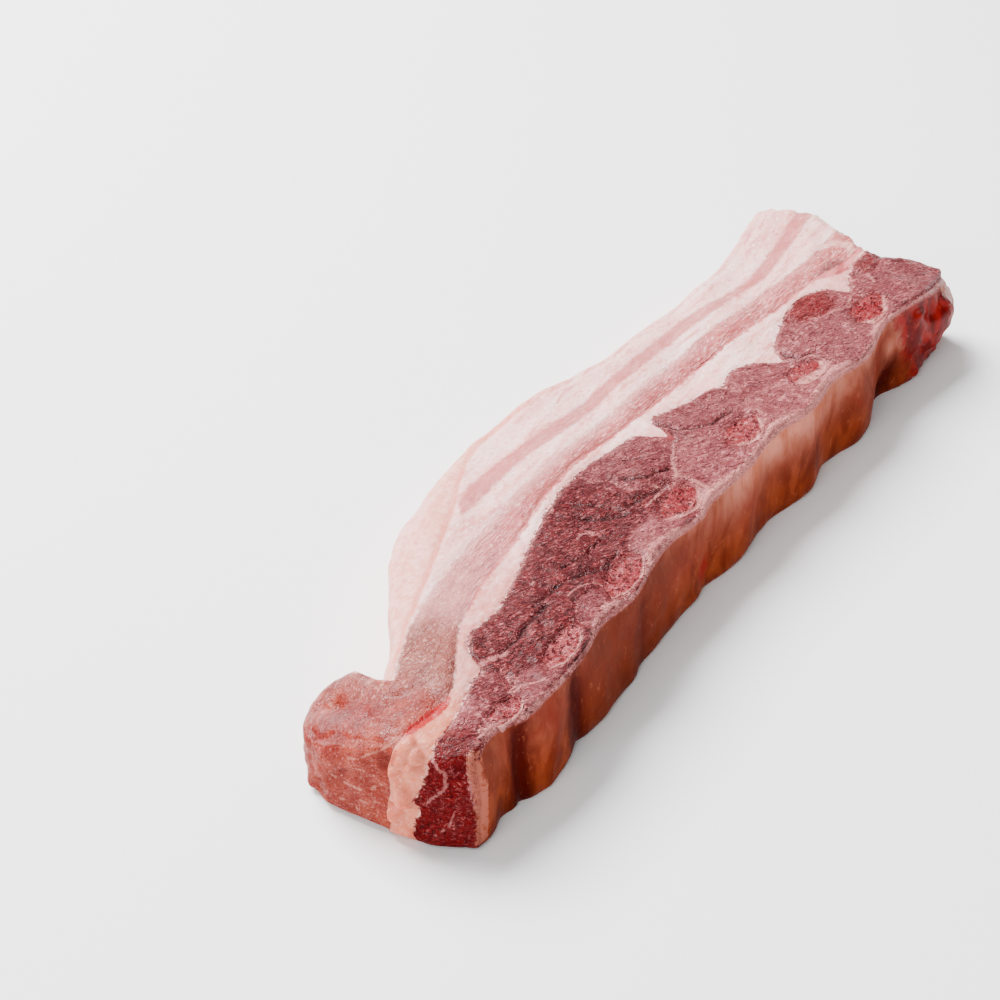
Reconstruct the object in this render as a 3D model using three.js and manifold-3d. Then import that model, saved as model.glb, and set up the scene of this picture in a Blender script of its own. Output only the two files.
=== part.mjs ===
// A strip of raw pork belly ribs, sawn across the bones into a long bar, in millimetres.
// It lies on its lower cut face. X runs along the strip, Y from the lined rib side (-Y) to the
// rind side (+Y) and Z up through the meat. From -Y to +Y the layers are the dark rib meat with
// seven rib bones, a seam of fat, the pale belly lean and the outer fat with a streak of lean.
// All layers run from the lower cut face to the upper one, so every node reaches both.

import * as THREE from "three";
import { mergeVertices } from "three/addons/utils/BufferGeometryUtils.js";
import Module from "manifold-3d";

// Driving dimensions
const HEIGHT = 27; // between the two cut faces
const NEAR_END = -9; // the flapped end, on the ruler that the curves below are read on
const FAR_END = 238.5;
const MIDDLE = { x: 116.7, y: 27.4 }; // the middle of the strip on that ruler
const LAYER_GAP = 0.3; // left between neighbouring nodes
const RIB_SIDE_ROUND = 1.6; // the saw leaves this edge nearly sharp
const END_ROUND = 7;
const BASE_ROUND = 3.5;
const SHOULDER_SLOPE = 0.72; // the rind's shoulder is this much lower than it is wide
const NOTCH_X = 14; // the flap of belly lean ends here, beside a deep notch
const NOTCH_WALL = 0.5; // half the width that the flap's wall takes along the strip
const FLAP_DROP = 8.5; // how far the flap hangs below the cut face

// Plan curves, [along, across], each read as a smooth line through its points.
const RIB_SIDE = [
  [-9, 2.5], [4, 2.6], [12, 0.4], [27, -0.9], [38, -0.9], [51, 0.6], [64, -0.9], [81, 2], [98, 0.5],
  [105, 1.6], [121, -0.7], [138, -0.3], [152, -2.9], [166, -2], [181, -4.8], [199, -2.4], [214, -4.8],
  [226, -3.8], [240, -1],
];
const MEAT_EDGE = [
  [-9, 9.5], [0, 11.5], [11, 13.4], [18, 15.3], [23, 16], [26, 20.6], [33, 23.8], [42, 23.1], [50, 24.8],
  [62, 27.6], [70, 29.6], [81, 31.8], [92, 33], [104, 32.6], [113, 30], [118.5, 28], [121, 20.4],
  [123, 20.6], [125, 27.4], [129, 28.6], [140, 24.6], [146, 23.2], [149, 20.8], [156, 21.8], [163, 19.2],
  [168.5, 13.2], [172, 16.8], [182, 20.2], [195, 21.8], [204, 17.4], [207, 12.2], [214, 14.6], [222, 16.6],
  [240, 18],
];
const LEAN_LOW = [
  [-9, 19.4], [0, 17.6], [8, 16.4], [14, 17.4], [22, 21.4], [32, 26.4], [43, 29.8], [53, 32], [73, 33.6],
  [88, 35.4], [104, 35.6], [124, 32.8], [154, 30.2], [174, 27.4], [195, 24.3], [214, 21.4], [226, 19.8],
  [240, 20.4],
];
const LEAN_HIGH = [
  [14, 31.2], [20, 34.3], [28, 37.4], [43, 40], [63, 41.4], [83, 41.7], [103, 41], [124, 39.6], [154, 36.8],
  [174, 34.3], [195, 31.6], [214, 29.2], [240, 28.8],
];
const STREAK_LOW = [
  [66, 46.4], [73, 47], [93, 47], [113, 44.7], [144, 42], [164, 40.1], [195, 35.8], [206, 35], [240, 38.6],
];
const STREAK_HIGH = [
  [66, 47.6], [74, 51.4], [84, 52.4], [103, 50.4], [124, 47.6], [154, 44.8], [172, 43], [186, 39.2],
  [206, 37.8], [240, 42.4],
];
const RIND_LINE = [
  [14, 32.4], [18, 33.9], [27, 37.5], [36, 39.8], [50, 44.2], [61, 47.6], [71, 51.2], [82, 55.9],
  [92, 59.2], [105, 59.6], [125, 56.4], [145, 50.3], [165, 48], [196, 45.6], [216, 47.2], [240, 51],
];
const RIND_SIDE = [
  [14, 34.6], [22, 39.2], [31, 44.6], [38, 48.8], [48, 55], [55, 59.2], [64, 62], [75, 63.2], [90, 63.1],
  [105, 62], [125, 58.6], [145, 52.6], [165, 50.4], [196, 47.9], [216, 49.5], [240, 53.2],
];
const FLAP_EDGE = [[-9, 40.6], [-3, 43.6], [5, 46], [11, 45.4], [14, 42]];
const FLAP_ROUND = 7;

// How far each end leans out, by the distance across: [across, along].
const NEAR_LEAN = [[-6, 9], [0, 7.5], [4, 5.5], [9, 2], [16, 0.3], [24, 0.4], [46, 1.6]];
const FAR_LEAN = [
  [-6, 3], [2, 1], [8, -3.5], [14, -6], [19, -4], [25, -0.5], [31, 1.2], [39, 4], [46, 1.8], [53, -2],
];
const LEAN_REACH = 34; // the leans fade out over this length

// Rib bones: the centre, the width along the strip and the depth across it, as sawn.
const RIBS = [
  { x: 202, y: 4.1, width: 14.4, depth: 8.6, turn: -0.1 },
  { x: 166, y: 5, width: 13, depth: 8, turn: -0.12 },
  { x: 133, y: 6.6, width: 14.6, depth: 8, turn: 0.02 },
  { x: 99.6, y: 6.8, width: 15.4, depth: 8.4, turn: 0.12 },
  { x: 67, y: 4.6, width: 16.4, depth: 7.2, turn: 0.2 },
  { x: 38, y: 3.9, width: 15.8, depth: 5.6, turn: 0.06 },
  { x: 12.6, y: 4.7, width: 13.4, depth: 4.8, turn: -0.1 },
];
const RIB_SIDES = 22;
const RIB_UNEVEN = 0.06;

// The lining between two ribs bulges out, most at the flapped end.
const BULGE = { near: 1.9, far: 0.7, start: 0, end: 190 };
const LUMP = { x: 222, z: 10, out: 3.6, long: 13, high: 9 }; // loose meat at the far corner
const HOLLOW = { x: 181, z: 1.5, in: 2.6, long: 9, high: 6 }; // a hollow under the lining
const SIDE_DEPTH = 8; // bulges fade into the meat over this depth

const COLOURS = {
  dark_meat: "#8a4a4f",
  pale_lean: "#dba8a2",
  fat: "#efd9d2",
  bone: "#b8484a",
};

// Smooth line through points, as a function from the first value to the second.
function smoothLine(points) {
  const slope = points.map((point, i) => {
    const before = points[Math.max(i - 1, 0)];
    const after = points[Math.min(i + 1, points.length - 1)];
    return (after[1] - before[1]) / (after[0] - before[0]);
  });
  return (x) => {
    let i = 0;
    while (i < points.length - 2 && x > points[i + 1][0]) {
      i += 1;
    }
    const [x0, y0] = points[i];
    const [x1, y1] = points[i + 1];
    const span = x1 - x0;
    const t = THREE.MathUtils.clamp((x - x0) / span, 0, 1);
    const t2 = t * t;
    const t3 = t2 * t;
    return (
      y0 * (2 * t3 - 3 * t2 + 1) + slope[i] * span * (t3 - 2 * t2 + t) +
      y1 * (3 * t2 - 2 * t3) + slope[i + 1] * span * (t3 - t2)
    );
  };
}

const ribSide = smoothLine(RIB_SIDE);
const meatEdge = smoothLine(MEAT_EDGE);
const leanLow = smoothLine(LEAN_LOW);
const leanHigh = smoothLine(LEAN_HIGH);
const streakLow = smoothLine(STREAK_LOW);
const streakHigh = smoothLine(STREAK_HIGH);
const rindLine = smoothLine(RIND_LINE);
const rindSide = smoothLine(RIND_SIDE);
const flapEdge = smoothLine(FLAP_EDGE);
const nearLean = smoothLine(NEAR_LEAN);
const farLean = smoothLine(FAR_LEAN);

const { smoothstep, lerp, clamp } = THREE.MathUtils;

function outerSide(x) {
  return x < NOTCH_X ? flapEdge(x) : rindSide(x);
}

function shoulderWidth(x) {
  return x < NOTCH_X ? FLAP_ROUND : rindSide(x) - rindLine(x);
}

// Signed share of the way into the rounding at the low or the high end of a range.
function intoRound(value, low, high, lowRound, highRound) {
  if (value < low + lowRound) {
    return (value - low - lowRound) / lowRound;
  }
  if (value > high - highRound) {
    return (value - high + highRound) / highRound;
  }
  return 0;
}

// How far the cut face lies below its full height at a place.
function topDrop(x, y) {
  const flap = (1 - smoothstep(x, 4, 23)) * smoothstep(y, 20, 46);
  const corner = smoothstep(x, 205, 240) * (1 - smoothstep(y, -6, 14));
  const waves = 0.45 * Math.sin(x / 13 + y / 9) + 0.35 * Math.sin(x / 7.3 - y / 5.1);
  return flap * FLAP_DROP + corner * 5 + waves * smoothstep(x, -6, 12) + 0.5;
}

// A smooth round swelling on the rib side, 1 at its middle.
function swell(place, x, z) {
  return Math.exp(-(((x - place.x) / place.long) ** 2) - ((z - place.z) / place.high) ** 2);
}

// How far the lined rib side stands out from its plan curve.
function sideBulge(x, z) {
  const fade = lerp(BULGE.near, BULGE.far, clamp((x - BULGE.start) / (BULGE.end - BULGE.start), 0, 1));
  const nearest = Math.min(...RIBS.map((rib) => Math.abs(x - rib.x + 2)));
  const ridges = fade * smoothstep(nearest, 3, 13);
  const below = 1 - smoothstep(z, HEIGHT - 9, HEIGHT - 1);
  return ridges * below + LUMP.out * swell(LUMP, x, z) - HOLLOW.in * swell(HOLLOW, x, z);
}

// Turns a place in the square-edged bar into one in the rounded, leaning, uneven strip.
function shape(x, y, z) {
  const low = ribSide(x);
  const high = outerSide(x);
  const width = shoulderWidth(x);
  const across = clamp((y - low) / (high - low), 0, 1);
  const endward = Math.max(1 - (x - NEAR_END) / (2 * END_ROUND), 1 - (FAR_END - x) / (2 * END_ROUND), 0);
  const sideDrop = lerp(RIB_SIDE_ROUND, width * SHOULDER_SLOPE, smoothstep(across, 0.25, 0.7));
  const topRound = Math.max(sideDrop, endward * END_ROUND);
  const sideRound = y < (low + high) / 2 ? RIB_SIDE_ROUND : width;
  const round = [END_ROUND, sideRound, z > HEIGHT / 2 ? topRound : BASE_ROUND];
  const into = [
    intoRound(x, NEAR_END, FAR_END, END_ROUND, END_ROUND),
    intoRound(y, low, high, RIB_SIDE_ROUND, width),
    intoRound(z, 0, HEIGHT, BASE_ROUND, topRound),
  ];
  const longest = Math.max(...into.map(Math.abs));
  const length = Math.hypot(...into);
  const pull = length > 0 ? longest / length - 1 : 0;
  const placed = [x, y, z].map((value, i) => value + into[i] * pull * round[i]);
  const nearShare = 1 - smoothstep(x, NEAR_END, NEAR_END + LEAN_REACH);
  const farShare = smoothstep(x, FAR_END - LEAN_REACH, FAR_END);
  const bulge = sideBulge(x, z) * (1 - smoothstep(y - low, 0, SIDE_DEPTH));
  return [
    placed[0] + nearLean(y) * nearShare + farLean(y) * farShare,
    placed[1] - bulge,
    placed[2] * (1 - topDrop(x, y) / HEIGHT),
  ];
}

const END_STEPS = [0, 0.17, 0.5, 1]; // sections in the rounding of an end
const CLEFTS = [24, 26, 118.5, 121, 123, 125, 168.5, 206]; // where fat runs in between two muscles

// Places along the strip where sections are taken, closer at the ends, the notch and the clefts.
function stations(from, to, step) {
  const nearRound = END_STEPS.map((share) => NEAR_END + share * END_ROUND);
  const farRound = END_STEPS.map((share) => FAR_END - share * END_ROUND);
  const notch = [NOTCH_X - NOTCH_WALL, NOTCH_X + NOTCH_WALL];
  const wanted = [...nearRound, ...notch, ...CLEFTS, ...farRound, from, to];
  const found = wanted.filter((x) => x >= from && x <= to);
  for (let x = NEAR_END + 4 * step; x < FAR_END - 2 * step; x += step) {
    if (x > from && x < to && found.every((other) => Math.abs(other - x) > step / 2)) {
      found.push(x);
    }
  }
  return [...new Set(found)].sort((a, b) => a - b);
}

// One closed layer: a grid of boxes between two plan curves, of which only the skin is kept.
function layerGeometry(along, lowCurve, highCurve, acrossShares, upShares) {
  const counts = [along.length - 1, acrossShares.length - 1, upShares.length - 1];
  const corner = (i, j, k) => {
    const x = along[i];
    const y = lerp(lowCurve(x), highCurve(x), acrossShares[j]);
    return shape(x, y, upShares[k] * HEIGHT);
  };
  const vertices = [];
  const sheet = (axis, last) => {
    const [a, b] = [0, 1, 2].filter((other) => other !== axis);
    const straight = (axis === 1) !== last;
    for (let p = 0; p < counts[a]; p += 1) {
      for (let q = 0; q < counts[b]; q += 1) {
        const at = (da, db) => {
          const index = [0, 0, 0];
          index[axis] = last ? counts[axis] : 0;
          index[a] = p + da;
          index[b] = q + db;
          return corner(...index);
        };
        const quad = straight
          ? [at(0, 0), at(1, 0), at(1, 1), at(0, 1)]
          : [at(0, 0), at(0, 1), at(1, 1), at(1, 0)];
        vertices.push(...quad[0], ...quad[1], ...quad[2]);
        vertices.push(...quad[0], ...quad[2], ...quad[3]);
      }
    }
  };
  for (const axis of [0, 1, 2]) {
    sheet(axis, false);
    sheet(axis, true);
  }
  const geometry = new THREE.BufferGeometry();
  geometry.setAttribute("position", new THREE.Float32BufferAttribute(vertices, 3));
  return mergeVertices(geometry, 1e-3);
}

function shifted(curve, offset) {
  return (x) => curve(x) + offset;
}

// The sawn outline of a rib bone, a slightly uneven oval, grown by an amount.
function ribOutline(rib, grow) {
  const shapeOutline = new THREE.Shape();
  for (let i = 0; i < RIB_SIDES; i += 1) {
    const turn = (i / RIB_SIDES) * 2 * Math.PI;
    const uneven = 1 + RIB_UNEVEN * Math.sin(3 * turn + rib.x);
    const dx = (rib.width / 2) * uneven * Math.cos(turn) + grow * Math.cos(turn);
    const dy = (rib.depth / 2) * uneven * Math.sin(turn) + grow * Math.sin(turn);
    const x = rib.x + dx * Math.cos(rib.turn) - dy * Math.sin(rib.turn);
    const y = rib.y + dx * Math.sin(rib.turn) + dy * Math.cos(rib.turn);
    if (i === 0) {
      shapeOutline.moveTo(x, y);
    } else {
      shapeOutline.lineTo(x, y);
    }
  }
  shapeOutline.closePath();
  return shapeOutline;
}

function extruded(outline, from, to) {
  const geometry = new THREE.ExtrudeGeometry(outline, { depth: to - from, bevelEnabled: false });
  geometry.translate(0, 0, from);
  geometry.deleteAttribute("normal");
  geometry.deleteAttribute("uv");
  return mergeVertices(geometry, 1e-3);
}

// A bone from cut face to cut face, its upper end following the strip's own surface.
function ribGeometry(rib) {
  const geometry = extruded(ribOutline(rib, 0), 0, HEIGHT);
  const position = geometry.getAttribute("position");
  for (let i = 0; i < position.count; i += 1) {
    if (position.getZ(i) > HEIGHT / 2) {
      position.setZ(i, HEIGHT - topDrop(position.getX(i), position.getY(i)));
    }
  }
  return geometry;
}

const wasm = await Module();
wasm.setup();

function toSolid(geometry) {
  return new wasm.Manifold(
    new wasm.Mesh({
      numProp: 3,
      vertProperties: new Float32Array(geometry.getAttribute("position").array),
      triVerts: new Uint32Array(geometry.getIndex().array),
    }),
  );
}

function toGeometry(solid) {
  const mesh = solid.getMesh();
  const geometry = new THREE.BufferGeometry();
  geometry.setAttribute("position", new THREE.Float32BufferAttribute(mesh.vertProperties, 3));
  geometry.setIndex(new THREE.Uint32BufferAttribute(mesh.triVerts, 1));
  return geometry;
}

function named(name, geometry, colour, roughness) {
  const flat = geometry.toNonIndexed();
  flat.computeVertexNormals();
  const material = new THREE.MeshStandardMaterial({ color: colour, roughness, metalness: 0 });
  const mesh = new THREE.Mesh(flat, material);
  mesh.name = name;
  return mesh;
}

const STEP = 4.4;
const HALF_GAP = LAYER_GAP / 2;
const OVERSHOOT = 3; // how far a cutter reaches past the faces it cuts
const OUTER_LEVELS = [0, 0.13, 0.48, 0.7, 0.88, 1];

function ribMeat() {
  const grid = layerGeometry(
    stations(NEAR_END, FAR_END, STEP),
    ribSide,
    shifted(meatEdge, -HALF_GAP),
    [0, 0.06, 0.25, 0.5, 0.78, 1],
    OUTER_LEVELS,
  );
  const solid = RIBS.reduce((meat, rib) => {
    const hole = extruded(ribOutline(rib, LAYER_GAP), -OVERSHOOT, HEIGHT + OVERSHOOT);
    return meat.subtract(toSolid(hole));
  }, toSolid(grid));
  return named("rib_meat", toGeometry(solid), COLOURS.dark_meat, 0.4);
}

function fatSeam() {
  const grid = layerGeometry(
    stations(NEAR_END, FAR_END, STEP),
    shifted(meatEdge, HALF_GAP),
    shifted(leanLow, -HALF_GAP),
    [0, 0.5, 1],
    [0, 0.13, 0.7, 1],
  );
  return named("fat_seam", grid, COLOURS.fat, 0.35);
}

function bellyLean() {
  const upper = (x) => (x < NOTCH_X ? flapEdge(x) : leanHigh(x) - HALF_GAP);
  const grid = layerGeometry(
    stations(NEAR_END, FAR_END, STEP),
    shifted(leanLow, HALF_GAP),
    upper,
    [0, 0.35, 0.7, 0.88, 1],
    [0, 0.13, 0.6, 0.82, 1],
  );
  return named("belly_lean", grid, COLOURS.pale_lean, 0.4);
}

// The plan outline of the thin streak of lean in the outer fat, grown by an amount.
function streakOutline(grow, farX) {
  const outline = new THREE.Shape();
  const along = [];
  for (let x = STREAK_LOW[0][0] - grow; x < farX; x += 2 * STEP) {
    along.push(x);
  }
  along.push(farX);
  outline.moveTo(along[0], streakLow(along[0]) - grow);
  along.slice(1).forEach((x) => outline.lineTo(x, streakLow(x) - grow));
  along.reverse().forEach((x) => outline.lineTo(x, streakHigh(x) + grow));
  outline.closePath();
  return outline;
}

function outerFatAndStreak() {
  const grid = layerGeometry(
    stations(NOTCH_X + NOTCH_WALL + LAYER_GAP, FAR_END, STEP),
    shifted(leanHigh, HALF_GAP),
    rindSide,
    [0, 0.35, 0.7, 0.86, 0.95, 1],
    OUTER_LEVELS,
  );
  const whole = toSolid(grid);
  const pastEnd = FAR_END + END_ROUND;
  const streakCut = toSolid(extruded(streakOutline(0, pastEnd), -OVERSHOOT, HEIGHT + OVERSHOOT));
  const slotCut = toSolid(extruded(streakOutline(LAYER_GAP, pastEnd), -OVERSHOOT, HEIGHT + OVERSHOOT));
  return [
    named("outer_fat", toGeometry(whole.subtract(slotCut)), COLOURS.fat, 0.35),
    named("outer_lean", toGeometry(whole.intersect(streakCut)), COLOURS.pale_lean, 0.4),
  ];
}

const strip = new THREE.Group();
strip.add(ribMeat(), fatSeam(), bellyLean(), ...outerFatAndStreak());
RIBS.forEach((rib, i) => {
  strip.add(named(`rib_${i + 1}`, ribGeometry(rib), COLOURS.bone, 0.6));
});
strip.position.set(-MIDDLE.x, -MIDDLE.y, 0);

export default strip;
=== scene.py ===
"""A bar of raw pork belly ribs, sawn across the bones and lying on its lower cut face.

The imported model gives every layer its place. Each layer is rebuilt here as its own closed piece with
cut-meat relief and a node-based finish: dark rib meat, seven sawn rib bones, a fat seam, the pale belly
lean with its curled flap, and the outer fat with a streak of lean and the rind.

Sizes inside the classes are millimetres on the strip's own ruler: x runs along the strip from the flapped
end, y across it from the lined rib side to the rind, and z up from the lower cut face.
"""

from __future__ import annotations

import logging
import math
from dataclasses import dataclass, field, replace
from enum import Enum

import bpy
import numpy as np
from mathutils import Matrix, Vector

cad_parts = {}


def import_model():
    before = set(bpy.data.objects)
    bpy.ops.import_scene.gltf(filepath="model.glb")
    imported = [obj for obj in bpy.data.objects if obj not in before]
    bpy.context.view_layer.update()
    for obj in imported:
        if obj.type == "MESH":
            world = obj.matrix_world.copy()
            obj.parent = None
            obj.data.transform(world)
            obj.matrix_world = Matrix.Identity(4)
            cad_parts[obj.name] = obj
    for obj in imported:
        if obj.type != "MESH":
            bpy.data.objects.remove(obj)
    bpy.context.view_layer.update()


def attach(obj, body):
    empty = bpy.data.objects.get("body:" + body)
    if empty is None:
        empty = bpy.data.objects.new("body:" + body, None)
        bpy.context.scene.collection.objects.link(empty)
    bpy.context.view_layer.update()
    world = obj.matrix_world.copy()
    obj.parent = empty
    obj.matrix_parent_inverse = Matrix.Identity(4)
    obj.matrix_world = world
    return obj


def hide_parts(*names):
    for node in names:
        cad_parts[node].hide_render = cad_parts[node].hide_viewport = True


LOG = logging.getLogger("pork_ribs")
MILLIMETRE = 0.001
MIDDLE = np.array([116.7, 27.4, 0.0])

Array = np.ndarray
Colour = tuple[float, float, float]
Socket = bpy.types.NodeSocket


class Slot(Enum):
    """Material slots."""

    DARK_MEAT = "dark_meat"
    PALE_LEAN = "pale_lean"
    FAT = "fat"
    BONE = "bone"


def share(value: Array, low: float, high: float) -> Array:
    """Smooth share of the way from low to high, 0 before it and 1 after it.

    Args:
        value: The places to read.
        low: Where the share leaves 0.
        high: Where the share reaches 1.

    Returns:
        The share at each place.
    """
    t = np.clip((np.asarray(value, float) - low) / (high - low), 0.0, 1.0)
    return t * t * (3.0 - 2.0 * t)


def tint(red: float, green: float, blue: float) -> Colour:
    """Turns a display colour, each part 0 to 255, into the linear one that shaders take.

    Args:
        red: Red part.
        green: Green part.
        blue: Blue part.

    Returns:
        The three linear parts.
    """

    def linear(part: float) -> float:
        """One linear part of a display part."""
        level = part / 255.0
        return level / 12.92 if level <= 0.04045 else ((level + 0.055) / 1.055) ** 2.4

    return linear(red), linear(green), linear(blue)


@dataclass(frozen=True)
class SmoothLine:
    """A smooth curve through points, read as the second value at a first value."""

    points: tuple[tuple[float, float], ...]

    def __call__(self, at: Array) -> Array:
        """Reads the curve.

        Args:
            at: First values.

        Returns:
            The second value at each, held level past both ends.
        """
        x, y = np.array(self.points, float).T
        last = len(x) - 1
        before = np.maximum(np.arange(len(x)) - 1, 0)
        after = np.minimum(np.arange(len(x)) + 1, last)
        slope = (y[after] - y[before]) / (x[after] - x[before])
        i = np.searchsorted(x[1:-1], at, side="left")
        span = x[i + 1] - x[i]
        t = np.clip((at - x[i]) / span, 0.0, 1.0)
        t2 = t * t
        t3 = t2 * t
        return (
            y[i] * (2 * t3 - 3 * t2 + 1)
            + slope[i] * span * (t3 - 2 * t2 + t)
            + y[i + 1] * (3 * t2 - 2 * t3)
            + slope[i + 1] * span * (t3 - t2)
        )


class Lumps:
    """Seeded smooth noise in space, about -1 to 1."""

    def __init__(self, seed: int) -> None:
        """Draws the slopes that the noise is made from.

        Args:
            seed: Chooses the pattern.
        """
        draw = np.random.default_rng(seed)
        self.order = np.tile(draw.permutation(256), 2)
        slopes = draw.normal(size=(256, 3))
        self.slopes = slopes / np.linalg.norm(slopes, axis=1, keepdims=True)

    def at(self, points: Array, size: float | tuple[float, float, float]) -> Array:
        """Reads the noise.

        Args:
            points: Places, one a row.
            size: How long one lump is, in all directions or along each axis.

        Returns:
            One value for each place.
        """
        scaled = points / np.array(size, float)
        cell = np.floor(scaled).astype(int)
        inside = scaled - cell
        fade = inside**3 * (inside * (inside * 6.0 - 15.0) + 10.0)
        total = np.zeros(len(points))
        for corner in np.ndindex(2, 2, 2):
            index = (cell + corner) & 255
            key = self.order[self.order[self.order[index[:, 0]] + index[:, 1]] + index[:, 2]]
            value = (self.slopes[key] * (inside - corner)).sum(1)
            weight = np.where(np.array(corner) == 1, fade, 1.0 - fade).prod(1)
            total += value * weight
        return total * 1.7

    def ragged(self, points: Array, size: float, layers: int = 3) -> Array:
        """Noise with finer noise on it.

        Args:
            points: Places, one a row.
            size: How long one of the largest lumps is.
            layers: How many sizes are added, each half the last.

        Returns:
            One value for each place.
        """
        total = np.zeros(len(points))
        for layer in range(layers):
            total += self.at(points + 37.0 * layer, size / 2**layer) / 2**layer
        return total / 1.4


@dataclass(frozen=True)
class Trace:
    """A drawn line on the meat: a thread of fat, a split between fibres or a smear."""

    points: tuple[tuple[float, float], ...]
    width: float

    def inside(self, x: Array, y: Array) -> Array:
        """How far inside the line a place is.

        Args:
            x: Places along the strip.
            y: Places across it.

        Returns:
            1 on the line, 0 at its edge and negative away from it, in half widths.
        """
        nearest = np.full(np.shape(x), 1e6)
        for (x0, y0), (x1, y1) in zip(self.points, self.points[1:]):
            dx, dy = x1 - x0, y1 - y0
            t = np.clip(((x - x0) * dx + (y - y0) * dy) / (dx * dx + dy * dy), 0.0, 1.0)
            nearest = np.minimum(nearest, np.hypot(x - x0 - t * dx, y - y0 - t * dy))
        return np.clip(1.0 - nearest / (0.5 * self.width), -4.0, 1.0)

    def close(self, x: Array, y: Array) -> Array:
        """Closeness to the line, 1 on it and fading softly to 0."""
        return np.exp(-((1.0 - self.inside(x, y)) ** 2))


@dataclass(frozen=True)
class Lobe:
    """One muscle in the cut face: a soft-edged oval with its own tone."""

    x: float
    y: float
    along: float
    across: float
    turn: float
    pale: float
    red: float

    def reach(self, x: Array, y: Array) -> Array:
        """Distance from the lobe's middle, 1 at its edge.

        Args:
            x: Places along the strip.
            y: Places across it.

        Returns:
            The distance at each place.
        """
        turn = math.radians(self.turn)
        dx, dy = x - self.x, y - self.y
        u = (dx * math.cos(turn) + dy * math.sin(turn)) / self.along
        v = (dy * math.cos(turn) - dx * math.sin(turn)) / self.across
        return np.hypot(u, v)


@dataclass(frozen=True)
class Rib:
    """A sawn rib: its middle, its width along the strip, its depth across it and its turn."""

    x: float
    y: float
    width: float
    depth: float
    turn: float

    def reach(self, x: Array, y: Array) -> Array:
        """Distance from the rib's middle, 1 at its uneven outline.

        Args:
            x: Places along the strip.
            y: Places across it.

        Returns:
            The distance at each place.
        """
        dx, dy = x - self.x, y - self.y
        u = dx * math.cos(self.turn) + dy * math.sin(self.turn)
        v = dy * math.cos(self.turn) - dx * math.sin(self.turn)
        angle = np.arctan2(v / self.depth, u / self.width)
        return np.hypot(2 * u / self.width, 2 * v / self.depth) / self.uneven(angle)

    def uneven(self, angle: Array) -> Array:
        """How the outline strays from an oval at an angle round it."""
        wander = 0.05 * np.sin(3 * angle + self.x) + 0.05 * np.sin(2 * angle + 2.3 * self.x)
        return 1.0 + wander + 0.03 * np.sin(7 * angle + self.y) + 0.02 * np.sin(11 * angle + self.x)


RIBS = (
    Rib(202, 4.1, 14.4, 9.0, -0.1),
    Rib(166, 5.0, 13.0, 8.0, -0.12),
    Rib(133, 6.6, 14.6, 8.4, 0.02),
    Rib(99.6, 6.8, 15.4, 8.8, 0.12),
    Rib(67, 4.6, 16.4, 7.6, 0.2),
    Rib(38, 3.9, 15.8, 5.8, 0.06),
    Rib(12.6, 4.2, 13.4, 5.0, -0.1),
)


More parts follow.
